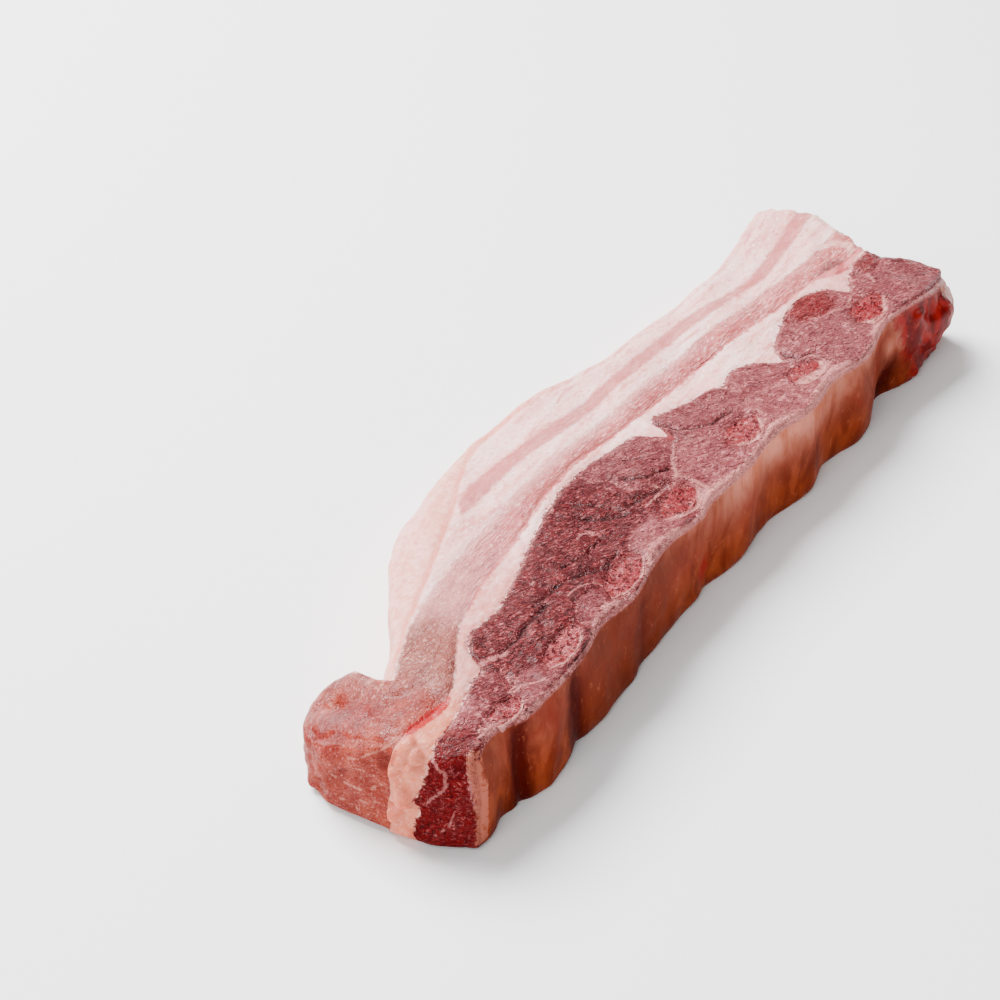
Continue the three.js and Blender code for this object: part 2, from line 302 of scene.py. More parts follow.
@dataclass(frozen=True)
class Plan:
    """Where the layers meet, seen from above."""

    rib_side: SmoothLine = SmoothLine((
        (-9, 2.5), (4, 2.6), (12, 0.4), (27, -0.9), (38, -0.9), (51, 0.6), (64, -0.9), (81, 2), (98, 0.5),
        (105, 1.6), (121, -0.7), (138, -0.3), (152, -2.9), (166, -2), (181, -4.8), (199, -2.4), (214, -4.8),
        (226, -3.8), (240, -1),
    ))
    meat_edge: SmoothLine = SmoothLine((
        (-9, 9.5), (0, 11.5), (11, 13.4), (18, 15.3), (23, 16), (26, 20.6), (33, 23.8), (42, 23.1), (50, 24.8),
        (62, 27.6), (70, 29.6), (81, 31.8), (92, 33), (104, 32.6), (113, 30), (118.5, 28), (121, 20.4),
        (123, 20.6), (125, 27.4), (129, 28.6), (140, 24.6), (146, 23.2), (149, 20.8), (156, 21.8), (163, 19.2),
        (168.5, 13.2), (172, 16.8), (182, 20.2), (195, 21.8), (204, 17.4), (207, 12.2), (214, 14.6), (222, 16.6),
        (240, 18),
    ))
    lean_low: SmoothLine = SmoothLine((
        (-9, 19.4), (0, 17.6), (8, 16.4), (14, 17.4), (22, 21.4), (32, 26.4), (43, 29.8), (53, 32), (73, 33.6),
        (88, 35.4), (104, 35.6), (124, 32.8), (154, 30.2), (174, 27.4), (195, 24.3), (214, 21.4), (226, 19.8),
        (240, 20.4),
    ))
    lean_high: SmoothLine = SmoothLine((
        (14, 29.8), (20, 33.4), (28, 37), (43, 40), (63, 41.4), (83, 41.7), (103, 41), (124, 39.6),
        (154, 36.8), (174, 34.3), (195, 31.6), (214, 29.2), (240, 28.8),
    ))
    streak_low: SmoothLine = SmoothLine((
        (66, 46.4), (73, 47), (93, 47), (113, 44.7), (144, 42), (164, 40.1), (195, 35.8), (206, 35), (240, 38.6),
    ))
    streak_high: SmoothLine = SmoothLine((
        (66, 47.6), (74, 51.4), (84, 52.4), (103, 50.4), (124, 47.6), (154, 44.8), (172, 43), (186, 39.2),
        (206, 37.8), (240, 42.4),
    ))
    rind_line: SmoothLine = SmoothLine((
        (14, 30.6), (18, 32.6), (27, 37), (36, 39.8), (50, 44.2), (61, 47.6), (71, 51.2), (82, 55.9),
        (92, 59.2), (105, 59.6), (125, 56.4), (145, 50.3), (165, 48), (196, 45.6), (216, 47.2), (240, 51),
    ))
    rind_side: SmoothLine = SmoothLine((
        (14, 32.4), (22, 37.4), (31, 43.8), (38, 48.6), (48, 55), (55, 59.2), (64, 62), (75, 63.2), (90, 63.1),
        (105, 62), (125, 58.6), (145, 52.6), (165, 50.4), (196, 47.9), (216, 49.5), (240, 53.2),
    ))
    flap_edge: SmoothLine = SmoothLine(((-9, 42.6), (-3, 45.6), (5, 47.6), (11, 46.4), (14, 43)))
    flap_round: float = 7.0
    notch: float = 14.0
    notch_wall: float = 0.5

    def past_notch(self, x: Array) -> Array:
        """0 on the flap, 1 past the notch beside it."""
        return np.clip((x - self.notch + self.notch_wall) / (2 * self.notch_wall), 0.0, 1.0)

    def outer_side(self, x: Array) -> Array:
        """The strip's outline on the side away from the ribs."""
        past = self.past_notch(x)
        return self.flap_edge(x) * (1 - past) + self.rind_side(x) * past

    def shoulder(self, x: Array) -> Array:
        """Width over which the cut face rounds off towards the outer side."""
        past = self.past_notch(x)
        return self.flap_round * (1 - past) + (self.rind_side(x) - self.rind_line(x)) * past

    def lean_top(self, x: Array) -> Array:
        """The belly lean's outer limit: the flap's edge, then its border with the outer fat."""
        past = self.past_notch(x)
        return self.flap_edge(x) * (1 - past) + self.lean_high(x) * past


PLAN = Plan()


@dataclass(frozen=True)
class StripForm:
    """The strip's own form: rounded ends and edges, leaning ends, a sagging flap and a bulging lining."""

    height: float = 27.0
    near_end: float = -9.0
    far_end: float = 238.5
    rib_side_round: float = 1.6
    end_round: float = 7.0
    base_round: float = 3.5
    shoulder_slope: float = 0.72
    flap_drop: float = 8.5
    lean_reach: float = 34.0
    side_depth: float = 8.0
    near_lean: SmoothLine = SmoothLine(((-6, 9), (0, 7.5), (4, 5.5), (9, 2), (16, 0.3), (24, 0.4), (46, 1.6)))
    far_lean: SmoothLine = SmoothLine((
        (-6, 3), (2, 1), (8, -3.5), (14, -6), (19, -4), (25, -0.5), (31, 2.6), (39, 6), (46, 3), (53, -1),
    ))
    notch_slant: float = 4.2
    lumps: Lumps = field(default_factory=lambda: Lumps(11))

    def slant(self, x: Array, y: Array) -> Array:
        """How far the notch's walls lean towards the flapped end at their inner end."""
        window = share(x, 2, PLAN.notch - 1) * (1 - share(x, PLAN.notch, 25))
        return self.notch_slant * window * share(y, 20, 30) * (1 - share(y, 31, 46))

    def top_drop(self, x: Array, y: Array) -> Array:
        """How far the upper cut face lies below the full height.

        Args:
            x: Places along the strip.
            y: Places across it.

        Returns:
            The drop at each place.
        """
        flap = (1 - share(x, 4, 23)) * share(y, 20, 46)
        corner = share(x, 205, 240) * (1 - share(y, -6, 14))
        waves = 0.45 * np.sin(x / 13 + y / 9) + 0.35 * np.sin(x / 7.3 - y / 5.1)
        return flap * self.flap_drop + corner * 5 + waves * share(x, -6, 12) + 0.5

    def lining_bulge(self, x: Array, z: Array) -> Array:
        """How far the lined rib side stands out from its plan curve.

        Args:
            x: Places along the strip.
            z: Heights.

        Returns:
            The bulge at each place, less than 0 in a hollow.
        """
        fade = 1.9 + (0.7 - 1.9) * np.clip(x / 190, 0, 1)
        nearest = np.min([np.abs(x - rib.x + 2) for rib in RIBS], axis=0)
        ridges = fade * share(nearest, 2, 14) * (1 - share(z, self.height - 10, self.height - 1))
        lump = 5.2 * np.exp(-(((x - 227) / 10) ** 2) - ((z - 17) / 9) ** 2)
        hollow = 2.6 * np.exp(-(((x - 203) / 7) ** 2) - ((z - 4) / 6) ** 2)
        points = np.stack([x, np.zeros_like(x), z], 1)
        calm = 1 - 0.6 * share(x, 66, 84)
        folds = 0.45 * self.lumps.at(points, (13.0, 9.0, 40.0)) + 0.14 * self.lumps.at(points + 50, (4.6, 5.0, 18.0))
        folds = folds * calm
        torn = share(x, 203, 213) * (1.3 * self.lumps.at(points + 9, (7.0, 9.0, 5.0)) + 0.6 * self.lumps.at(points, 3.0))
        grooves = sum(
            deep * np.exp(-(((x - at - 0.12 * (14 - z)) / wide) ** 2))
            for at, wide, deep in ((11.5, 2.6, 1.2), (36.5, 3.2, 1.3), (68.5, 4.2, 0.6), (173, 4.0, 0.6))
        )
        below = 1 - share(z, self.height - 6, self.height - 0.5)
        return ridges + lump - hollow + (folds + torn - grooves) * below

    def boundary_wander(self, x: Array, z: Array, seed: float) -> Array:
        """How a border between two layers strays from its plan curve.

        Args:
            x: Places along the strip.
            z: Heights.
            seed: Tells one border from another.

        Returns:
            The stray at each place, the same for both layers that meet there.
        """
        points = np.stack([x, np.full_like(x, seed * 61.7), z], 1)
        broad = 0.7 * self.lumps.at(points, (16.0, 9.0, 12.0)) * share(self.height - z, 0, 9)
        at_end = (1 - share(x, -7, 2)) * share(self.height - z, 1, 5)
        broad = broad + at_end * (1.5 * self.lumps.at(points + 3, (30.0, 9.0, 6.0)) + 0.5 * self.lumps.at(points, 2.6))
        return broad + 0.32 * self.lumps.at(points, (4.2, 9, 7)) + 0.2 * self.lumps.at(points + 9, (1.7, 9, 5))

    def meat_border(self, x: Array, z: Array) -> Array:
        """The border between the dark meat and the fat seam, further over low down on the flapped end."""
        spread = np.interp(z, (5, 14, 19, 23, 27), (5.0, 4.3, 2.8, 1.6, 1.2)) * (1 - share(x, -7, 5))
        return PLAN.meat_edge(x) + self.boundary_wander(x, z, 1) + spread

    def into_round(self, value: Array, low: Array, high: Array, low_round: Array, high_round: Array) -> Array:
        """Signed share of the way into the rounding at either end of a range.

        Args:
            value: The places to read.
            low: Low end of the range.
            high: High end of the range.
            low_round: Length of the rounding at the low end.
            high_round: Length of the rounding at the high end.

        Returns:
            -1 at the low end, 0 between the roundings, 1 at the high end.
        """
        under = np.minimum((value - low - low_round) / low_round, 0.0)
        over = np.maximum((value - high + high_round) / high_round, 0.0)
        return np.where(value < low + low_round, under, over)

    def place(self, x: Array, y: Array, z: Array, relief: Array) -> Array:
        """Turns places in a square-edged bar into places in the strip.

        Args:
            x: Places along the bar.
            y: Places across it, on the plan curves.
            z: Heights, 0 to the full height.
            relief: How far each place stands out from the skin. It fades away inside the strip.

        Returns:
            Places on the ruler, one a row.
        """
        low, high, width = PLAN.rib_side(x), PLAN.outer_side(x), PLAN.shoulder(x)
        across = np.clip((y - low) / (high - low), 0, 1)
        endward = np.maximum(1 - (x - self.near_end) / (2 * self.end_round), 1 - (self.far_end - x) / (2 * self.end_round))
        side_drop = self.rib_side_round + (width * self.shoulder_slope - self.rib_side_round) * share(across, 0.25, 0.7)
        top_round = np.maximum(side_drop, np.maximum(endward, 0) * self.end_round)
        middle_y, middle_z = y < (low + high) / 2, z > self.height / 2
        rounds = np.stack([
            np.full_like(x, self.end_round),
            np.where(middle_y, self.rib_side_round, width),
            np.where(middle_z, top_round, self.base_round),
        ], 1)
        into = np.stack([
            self.into_round(x, self.near_end, self.far_end, self.end_round, self.end_round),
            self.into_round(y, low, high, self.rib_side_round, width),
            self.into_round(z, np.zeros_like(z), np.full_like(z, self.height), self.base_round, top_round),
        ], 1)
        longest = np.abs(into).max(1)
        length = np.linalg.norm(into, axis=1)
        pull = np.where(length > 0, longest / np.maximum(length, 1e-9) - 1, 0)
        placed = np.stack([x, y, z], 1) + into * pull[:, None] * rounds
        near_share = 1 - share(x, self.near_end, self.near_end + self.lean_reach)
        far_share = share(x, self.far_end - self.lean_reach, self.far_end)
        bulge = self.lining_bulge(x, z) * (1 - share(y - low, 0, self.side_depth))
        placed[:, 0] += self.near_lean(y) * near_share + self.far_lean(y) * far_share - self.slant(x, y)
        placed[:, 1] -= bulge
        placed[:, 2] *= 1 - self.top_drop(x, y) / self.height
        outward = into / rounds
        outward /= np.maximum(np.linalg.norm(outward, axis=1, keepdims=True), 1e-9)
        return placed + outward * (relief * longest**12)[:, None]


FORM = StripForm()


def shown_mesh(name: str, places: Array, faces: Array, layers: dict[str, Array], sharp: float = 50.0) -> bpy.types.Object:
    """Makes a smooth-shaded object from places on the ruler.

    Args:
        name: The object's name.
        places: Places in millimetres on the ruler, one a row.
        faces: Corner numbers of the four-sided faces, one face a row.
        layers: Values to keep on the points, by name.
        sharp: Edges that turn more than this many degrees stay sharp.

    Returns:
        The new object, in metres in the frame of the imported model.
    """
    mesh = bpy.data.meshes.new(name)
    mesh.from_pydata(((places - MIDDLE) * MILLIMETRE).tolist(), [], faces.tolist())
    for label, values in layers.items():
        layer = mesh.attributes.new(label, "FLOAT", "POINT")
        layer.data.foreach_set("value", values.astype(np.float32))
    mesh.shade_smooth()
    mesh.set_sharp_from_angle(angle=math.radians(sharp))
    made = bpy.data.objects.new(name, mesh)
    bpy.context.scene.collection.objects.link(made)
    return made


@dataclass(frozen=True)
class Skin:
    """The outer skin of a closed lattice of boxes: which lattice points it has, and its faces."""

    counts: tuple[int, int, int]

    def points(self) -> tuple[Array, Array]:
        """Lattice indices of the skin's points, and the table that turns an index into a point number."""
        grid = np.stack(np.meshgrid(*[np.arange(n) for n in self.counts], indexing="ij"), -1)
        last = np.array(self.counts) - 1
        outside = ((grid == 0) | (grid == last)).any(-1)
        numbers = np.full(self.counts, -1)
        numbers[outside] = np.arange(outside.sum())
        return grid[outside], numbers

    def faces(self, numbers: Array) -> Array:
        """Faces of the skin, all turned outward.

        Args:
            numbers: The table from points().

        Returns:
            Four point numbers a row.
        """
        found = []
        for axis in range(3):
            for end in (0, -1):
                sheet = np.take(numbers, end, axis=axis)
                corners = [sheet[:-1, :-1], sheet[1:, :-1], sheet[1:, 1:], sheet[:-1, 1:]]
                if (axis == 1) != (end == 0):
                    corners.reverse()
                found.append(np.stack([c.ravel() for c in corners], 1))
        return np.concatenate(found)


@dataclass
class Layer:
    """A layer of the strip that runs from cut face to cut face, between two plan curves."""

    name: str
    slot: Slot
    nodes: tuple[str, ...]
    columns: int
    step: float = 0.56
    start: float = -9.0
    levels: tuple[float, ...] = (
        0, 0.3, 0.7, 1.2, 1.8, 2.5, 3.3, 4.3, 5.5, 7, 8.4, 9.8, 11.2, 12.6, 13.9, 15.1, 16.3, 17.4, 18.4, 19.4,
        20.3, 21.2, 22, 22.8, 23.5, 24.1, 24.7, 25.2, 25.65, 26.0, 26.3, 26.55, 26.75, 26.9, 27,
    )
    lumps: Lumps = field(default_factory=lambda: Lumps(5))

    def low(self, x: Array, z: Array) -> Array:
        """The layer's border towards the rib side."""
        raise NotImplementedError

    def high(self, x: Array, z: Array) -> Array:
        """The layer's border towards the rind."""
        raise NotImplementedError

    def relief(self, x: Array, y: Array, z: Array) -> Array:
        """The layer's own relief on its skin, 0 where it meets a neighbour."""
        raise NotImplementedError

    def paint(self, base: Array, placed: Array) -> dict[str, Array]:
        """Values for the finish, by name, one for each point."""
        raise NotImplementedError

    def finish(self) -> Finish:
        """The layer's finish."""
        raise NotImplementedError

    def dress(self, made: bpy.types.Object) -> None:
        """Gives the cut faces the wet finish and the standing faces a duller one."""
        wet = self.finish()
        dull = replace(wet, name=f"{wet.name}_standing", gloss=0.03 * wet.gloss)
        for finish in (wet, dull):
            made.data.materials.append(finish.build())
        faces = made.data.polygons
        normals = np.empty(3 * len(faces), np.float32)
        faces.foreach_get("normal", normals)
        faces.foreach_set("material_index", (np.abs(normals[2::3]) < 0.6).astype(np.int32))

    def stations(self) -> Array:
        """Places along the strip where the layer has sections, close together at the notch."""
        along = np.arange(FORM.near_end, FORM.far_end, self.step)
        wall = np.linspace(PLAN.notch - PLAN.notch_wall, PLAN.notch + PLAN.notch_wall, 9)
        along = along[(along < wall[0] - 0.1) | (along > wall[-1] + 0.1)]
        along = np.sort(np.concatenate([along, wall, [FORM.far_end]]))
        return along[along >= self.start - 1e-6]

    def across(self, low: Array, high: Array, column: Array) -> Array:
        """Spreads the columns over the layer's width."""
        return low + (high - low) * column / self.columns

    def shared_relief(self, x: Array, y: Array, z: Array) -> Array:
        """Relief that all layers have in common, so that neighbours meet without a step.

        Args:
            x: Places along the strip.
            y: Places across it.
            z: Heights.

        Returns:
            How far the skin stands out at each place.
        """
        points = np.stack([x, y, z], 1)
        broad = 0.5 * FORM.lumps.at(points, 15.0) + 0.28 * FORM.lumps.at(points, 6.5)
        at_end = share(x, FORM.far_end - 7, FORM.far_end)
        torn = at_end * (1.3 * FORM.lumps.at(points, 5.0) + 0.7 * FORM.lumps.at(points, 2.2))
        seams = sum(
            depth * np.exp(-(((y - edge) / 0.8) ** 2))
            for edge, depth in ((PLAN.meat_edge(x), 0.3), (PLAN.lean_low(x), 0.14))
        )
        return broad + torn - seams * (z > FORM.height / 2)

    def off_border(self, x: Array, y: Array, z: Array) -> tuple[Array, Array]:
        """Distances to the layer's low and high borders."""
        return y - self.low(x, z), self.high(x, z) - y

    def build(self) -> bpy.types.Object:
        """Builds, dresses and places the piece.

        Returns:
            The finished object.
        """
        along, levels = self.stations(), np.array(self.levels)
        skin = Skin((len(along), self.columns + 1, len(levels)))
        index, numbers = skin.points()
        x, z = along[index[:, 0]], levels[index[:, 2]]
        y = self.across(self.low(x, z), self.high(x, z), index[:, 1])
        relief = self.shared_relief(x, y, z) + self.relief(x, y, z)
        relief = np.where(z < 1.0, 0.25 * np.minimum(relief, 0.4), relief)
        placed = FORM.place(x, y, z, relief)
        values = self.paint(np.stack([x, y, z], 1), placed)
        made = shown_mesh(self.name, placed, skin.faces(numbers), values)
        self.dress(made)
        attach(made, "root")
        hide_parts(*self.nodes)
        return made


class Bench:
    """Lays nodes in one shader tree and joins them."""

    def __init__(self, tree: bpy.types.NodeTree) -> None:
        """Starts on a tree.

        Args:
            tree: A material's or a group's node tree.
        """
        self.tree = tree

    def lay(self, kind: str, **settings: object) -> bpy.types.Node:
        """Adds a node and sets its options.

        Args:
            kind: The node's type name.
            **settings: Options by name.

        Returns:
            The new node.
        """
        node = self.tree.nodes.new(kind)
        for option, value in settings.items():
            setattr(node, option, value)
        return node

    def feed(self, socket: Socket, source: Socket | float | Colour) -> None:
        """Joins a socket to its source, or sets its plain value.

        Args:
            socket: An input socket.
            source: An output socket, a number or a colour.
        """
        if isinstance(source, bpy.types.NodeSocket):
            self.tree.links.new(source, socket)
        elif isinstance(source, tuple) and socket.type == "RGBA":
            socket.default_value = (*source[:3], 1.0)
        else:
            socket.default_value = source

    def sum(self, operation: str, first: Socket | float, second: Socket | float = 0.0) -> Socket:
        """Does arithmetic on one or two values."""
        node = self.lay("ShaderNodeMath", operation=operation)
        self.feed(node.inputs[0], first)
        self.feed(node.inputs[1], second)
        return node.outputs[0]

    def along(self, operation: str, first: Socket | Colour, second: Socket | Colour) -> Socket:
        """Does arithmetic on two vectors."""
        node = self.lay("ShaderNodeVectorMath", operation=operation)
        self.feed(node.inputs[0], first)
        self.feed(node.inputs[1], second)
        return node.outputs[0]

    def grade(self, value: Socket, low: float | Socket, high: float | Socket, start: float = 0.0, end: float = 1.0) -> Socket:
        """Smoothly turns a range of a value into another range.

        Args:
            value: The value.
            low: Where the change begins.
            high: Where the change ends.
            start: What comes out up to low.
            end: What comes out from high on.

        Returns:
            The output socket.
        """
        node = self.lay("ShaderNodeMapRange", interpolation_type="SMOOTHSTEP")
        for name, source in (("Value", value), ("From Min", low), ("From Max", high), ("To Min", start), ("To Max", end)):
            self.feed(node.inputs[name], source)
        return node.outputs["Result"]

    def blend(self, amount: Socket | float, first: Socket | Colour, second: Socket | Colour) -> Socket:
        """Mixes two colours, all first at 0 and all second at 1."""
        node = self.lay("ShaderNodeMix", data_type="RGBA", clamp_factor=True)
        self.feed(node.inputs[0], amount)
        self.feed(node.inputs[6], first)
        self.feed(node.inputs[7], second)
        return node.outputs[2]

    def mixed(self, amount: Socket | float, first: Socket | float, second: Socket | float) -> Socket:
        """Mixes two values, all first at 0 and all second at 1."""
        node = self.lay("ShaderNodeMix", data_type="FLOAT", clamp_factor=True)
        self.feed(node.inputs[0], amount)
        self.feed(node.inputs[2], first)
        self.feed(node.inputs[3], second)
        return node.outputs[0]

    def noise(self, where: Socket, size: float | Socket, detail: float = 2.0, rough: float = 0.5, bend: float = 0.0) -> bpy.types.Node:
        """Adds noise with lumps of a size.

        Args:
            where: The place, in millimetres.
            size: Length of a lump in millimetres.
            detail: How many finer sizes are added.
            rough: How strong the finer sizes are.
            bend: How far the pattern is pulled about.

        Returns:
            The noise node.
        """
        node = self.lay("ShaderNodeTexNoise")
        self.feed(node.inputs["Vector"], where)
        self.feed(node.inputs["Scale"], self.sum("DIVIDE", 1.0, size) if isinstance(size, bpy.types.NodeSocket) else 1.0 / size)
        self.feed(node.inputs["Detail"], detail)
        self.feed(node.inputs["Roughness"], rough)
        self.feed(node.inputs["Distortion"], bend)
        return node

    def ruler(self) -> Socket:
        """The place on the piece, in millimetres."""
        node = self.lay("ShaderNodeTexCoord")
        return self.along("MULTIPLY", node.outputs["Object"], (1000.0, 1000.0, 1000.0))

    def layer(self, name: str) -> Socket:
        """A value kept on the piece's points."""
        return self.lay("ShaderNodeAttribute", attribute_name=name).outputs["Fac"]

    def call(self, group: bpy.types.NodeTree, **values: Socket | float | Colour) -> bpy.types.Node:
        """Places a group and feeds its inputs.

        Args:
            group: The group's tree.
            **values: Sources by input name, with _ for a space.

        Returns:
            The group node.
        """
        node = self.lay("ShaderNodeGroup", node_tree=group)
        for name, source in values.items():
            self.feed(node.inputs[name.replace("_", " ")], source)
        return node


class Effect:
    """A shader node group, built once and shared."""

    made: dict[str, bpy.types.NodeTree] = {}
    name = ""
    inputs: tuple[tuple[str, str, object], ...] = ()
    outputs: tuple[tuple[str, str], ...] = ()

    @classmethod
    def group(cls) -> bpy.types.NodeTree:
        """The group's tree, built at the first call."""
        if cls.name not in Effect.made:
            tree = bpy.data.node_groups.new(cls.name, "ShaderNodeTree")
            for label, kind, value in cls.inputs:
                socket = tree.interface.new_socket(label, in_out="INPUT", socket_type=kind)
                socket.default_value = value
            for label, kind in cls.outputs:
                tree.interface.new_socket(label, in_out="OUTPUT", socket_type=kind)
            bench = Bench(tree)
            given = bench.lay("NodeGroupInput")
            result = bench.lay("NodeGroupOutput")
            cls.wire(bench, given.outputs, result.inputs)
            Effect.made[cls.name] = tree
        return Effect.made[cls.name]

    @classmethod
    def wire(cls, bench: Bench, given: object, result: object) -> None:
        """Joins the group's inputs to its outputs."""
        raise NotImplementedError


FLOAT = "NodeSocketFloat"
COLOUR = "NodeSocketColor"


class FibreBundles(Effect):
    """Short wavy bundles of cut muscle fibre."""

    name = "Fibre bundles"
    inputs = (
        ("Turn", FLOAT, 0.0),
        ("Length", FLOAT, 2.2),
        ("Width", FLOAT, 1.2),
        ("Wander", FLOAT, 1.6),
        ("Thickness", FLOAT, 0.1),
    )
    outputs = (("Threads", FLOAT), ("Crevices", FLOAT), ("Height", FLOAT))

    @classmethod
    def wire(cls, bench: Bench, given: object, result: object) -> None:
        """Contour lines of stretched, pulled-about noise."""
        place = bench.ruler()
        pulled = bench.noise(place, 3.6, 2.0, 0.5).outputs["Color"]
        pulled = bench.along("SUBTRACT", pulled, (0.5, 0.5, 0.5))
        strength = bench.lay("ShaderNodeVectorMath", operation="SCALE")
        bench.feed(strength.inputs[0], pulled)
        bench.feed(strength.inputs["Scale"], given["Wander"])
        place = bench.along("ADD", place, strength.outputs[0])
        turned = bench.lay("ShaderNodeVectorRotate", rotation_type="Z_AXIS")
        bench.feed(turned.inputs["Vector"], place)
        bench.feed(turned.inputs["Angle"], given["Turn"])
        size = bench.lay("ShaderNodeCombineXYZ")
        bench.feed(size.inputs[0], given["Length"])
        bench.feed(size.inputs[1], given["Width"])
        bench.feed(size.inputs[2], given["Width"])
        spread = bench.along("DIVIDE", turned.outputs[0], size.outputs[0])
        first = bench.noise(spread, 1.0, 1.0, 0.4).outputs[0]
        second = bench.noise(bench.along("ADD", spread, (31.0, 7.0, 3.0)), 0.62, 1.0, 0.4).outputs[0]
        lines = []
        for value, scale in ((first, 1.0), (second, 0.8)):
            off = bench.sum("ABSOLUTE", bench.sum("SUBTRACT", value, 0.5))
            lines.append(bench.grade(off, bench.sum("MULTIPLY", given["Thickness"], scale), 0.01, 0.0, 1.0))
        patchy = bench.grade(bench.noise(place, 4.0, 3.0).outputs[0], 0.36, 0.6, 0.3, 1.0)
        threads = bench.sum("MAXIMUM", lines[0], bench.sum("MULTIPLY", lines[1], 0.6))
        bench.feed(result["Threads"], bench.sum("MULTIPLY", threads, patchy))
        wide = bench.along("MULTIPLY", bench.along("ADD", spread, (11.0, 43.0, 7.0)), (0.5, 0.55, 0.55))
        gap = bench.sum("ABSOLUTE", bench.sum("SUBTRACT", bench.noise(wide, 1.0, 2.0, 0.45, 0.5).outputs[0], 0.5))
        open_here = bench.grade(bench.noise(place, 3.0, 2.0).outputs[0], 0.42, 0.6, 0.1, 1.0)
        crevices = bench.sum("MULTIPLY", bench.grade(gap, 0.045, 0.0), open_here)
        bench.feed(result["Crevices"], crevices)
        height = bench.sum("ADD", bench.sum("MULTIPLY", threads, 0.45), bench.sum("MULTIPLY", first, 1.1))
        bench.feed(result["Height"], bench.sum("SUBTRACT", height, bench.sum("MULTIPLY", crevices, 0.8)))


class GrainAndPaintedLight(Effect):
    """The fine wet grain of a cut face, with masks for painted light on it: painted glints (highlights) and painted
    shade in the small creases between them.
    """

    name = "Grain and painted light"
    inputs = (("Turn", FLOAT, 0.0), ("Size", FLOAT, 0.6), ("Stretch", FLOAT, 1.8))
    outputs = (("Glints", FLOAT), ("Creases", FLOAT), ("Height", FLOAT))

    @classmethod
    def wire(cls, bench: Bench, given: object, result: object) -> None:
        """Both ends of one stretched noise: its top is the mask for painted glints, its bottom the mask for painted
        crease shade, and the noise itself is the relief.
        """
        turned = bench.lay("ShaderNodeVectorRotate", rotation_type="Z_AXIS")
        bench.feed(turned.inputs["Vector"], bench.ruler())
        bench.feed(turned.inputs["Angle"], given["Turn"])
        size = bench.lay("ShaderNodeCombineXYZ")
        bench.feed(size.inputs[0], bench.sum("MULTIPLY", given["Size"], given["Stretch"]))
        bench.feed(size.inputs[1], given["Size"])
        bench.feed(size.inputs[2], given["Size"])
        value = bench.noise(bench.along("DIVIDE", turned.outputs[0], size.outputs[0]), 1.0, 2.0, 0.6, 0.5).outputs[0]
        # The Glints mask is for painted highlights, the Creases mask for painted shade.
        bench.feed(result["Glints"], bench.grade(value, 0.56, 0.72))
        bench.feed(result["Creases"], bench.grade(value, 0.45, 0.3))
        bench.feed(result["Height"], value)


class Mottle(Effect):
    """Soft uneven patches."""

    name = "Mottle"
    inputs = (("Size", FLOAT, 6.0), ("Low", FLOAT, 0.35), ("High", FLOAT, 0.65))
    outputs = (("Amount", FLOAT),)

    @classmethod
    def wire(cls, bench: Bench, given: object, result: object) -> None:
        """Noise between two limits."""
        value = bench.noise(bench.ruler(), given["Size"], 3.0, 0.55, 0.4).outputs[0]
        bench.feed(result["Amount"], bench.grade(value, given["Low"], given["High"]))


class RaggedEdge(Effect):
    """Turns a distance into a mask with a torn edge."""

    name = "Ragged edge"
    inputs = (("Distance", FLOAT, 0.0), ("Rag", FLOAT, 0.6), ("Size", FLOAT, 1.4), ("Soft", FLOAT, 0.2))
    outputs = (("Mask", FLOAT),)

    @classmethod
    def wire(cls, bench: Bench, given: object, result: object) -> None:
        """Adds noise to the distance, then cuts it."""
        value = bench.noise(bench.ruler(), given["Size"], 3.0, 0.6, 0.5).outputs[0]
        stray = bench.sum("MULTIPLY", bench.sum("SUBTRACT", value, 0.5), bench.sum("MULTIPLY", given["Rag"], 4.0))
        moved = bench.sum("ADD", given["Distance"], stray)
        low = bench.sum("MULTIPLY", given["Soft"], -1.0)
        bench.feed(result["Mask"], bench.grade(moved, low, given["Soft"]))


class FrayedLine(Effect):
    """Turns closeness to a drawn line into a thin broken thread."""

    name = "Frayed line"
    inputs = (("Closeness", FLOAT, 0.0), ("Size", FLOAT, 0.8))
    outputs = (("Mask", FLOAT),)

    @classmethod
    def wire(cls, bench: Bench, given: object, result: object) -> None:
        """Adds fine noise to the closeness, then cuts it high up."""
        value = bench.noise(bench.ruler(), given["Size"], 3.0, 0.6, 1.0).outputs[0]
        moved = bench.sum("ADD", given["Closeness"], bench.sum("MULTIPLY", bench.sum("SUBTRACT", value, 0.5), 1.5))
        bench.feed(result["Mask"], bench.grade(moved, 0.6, 0.92))


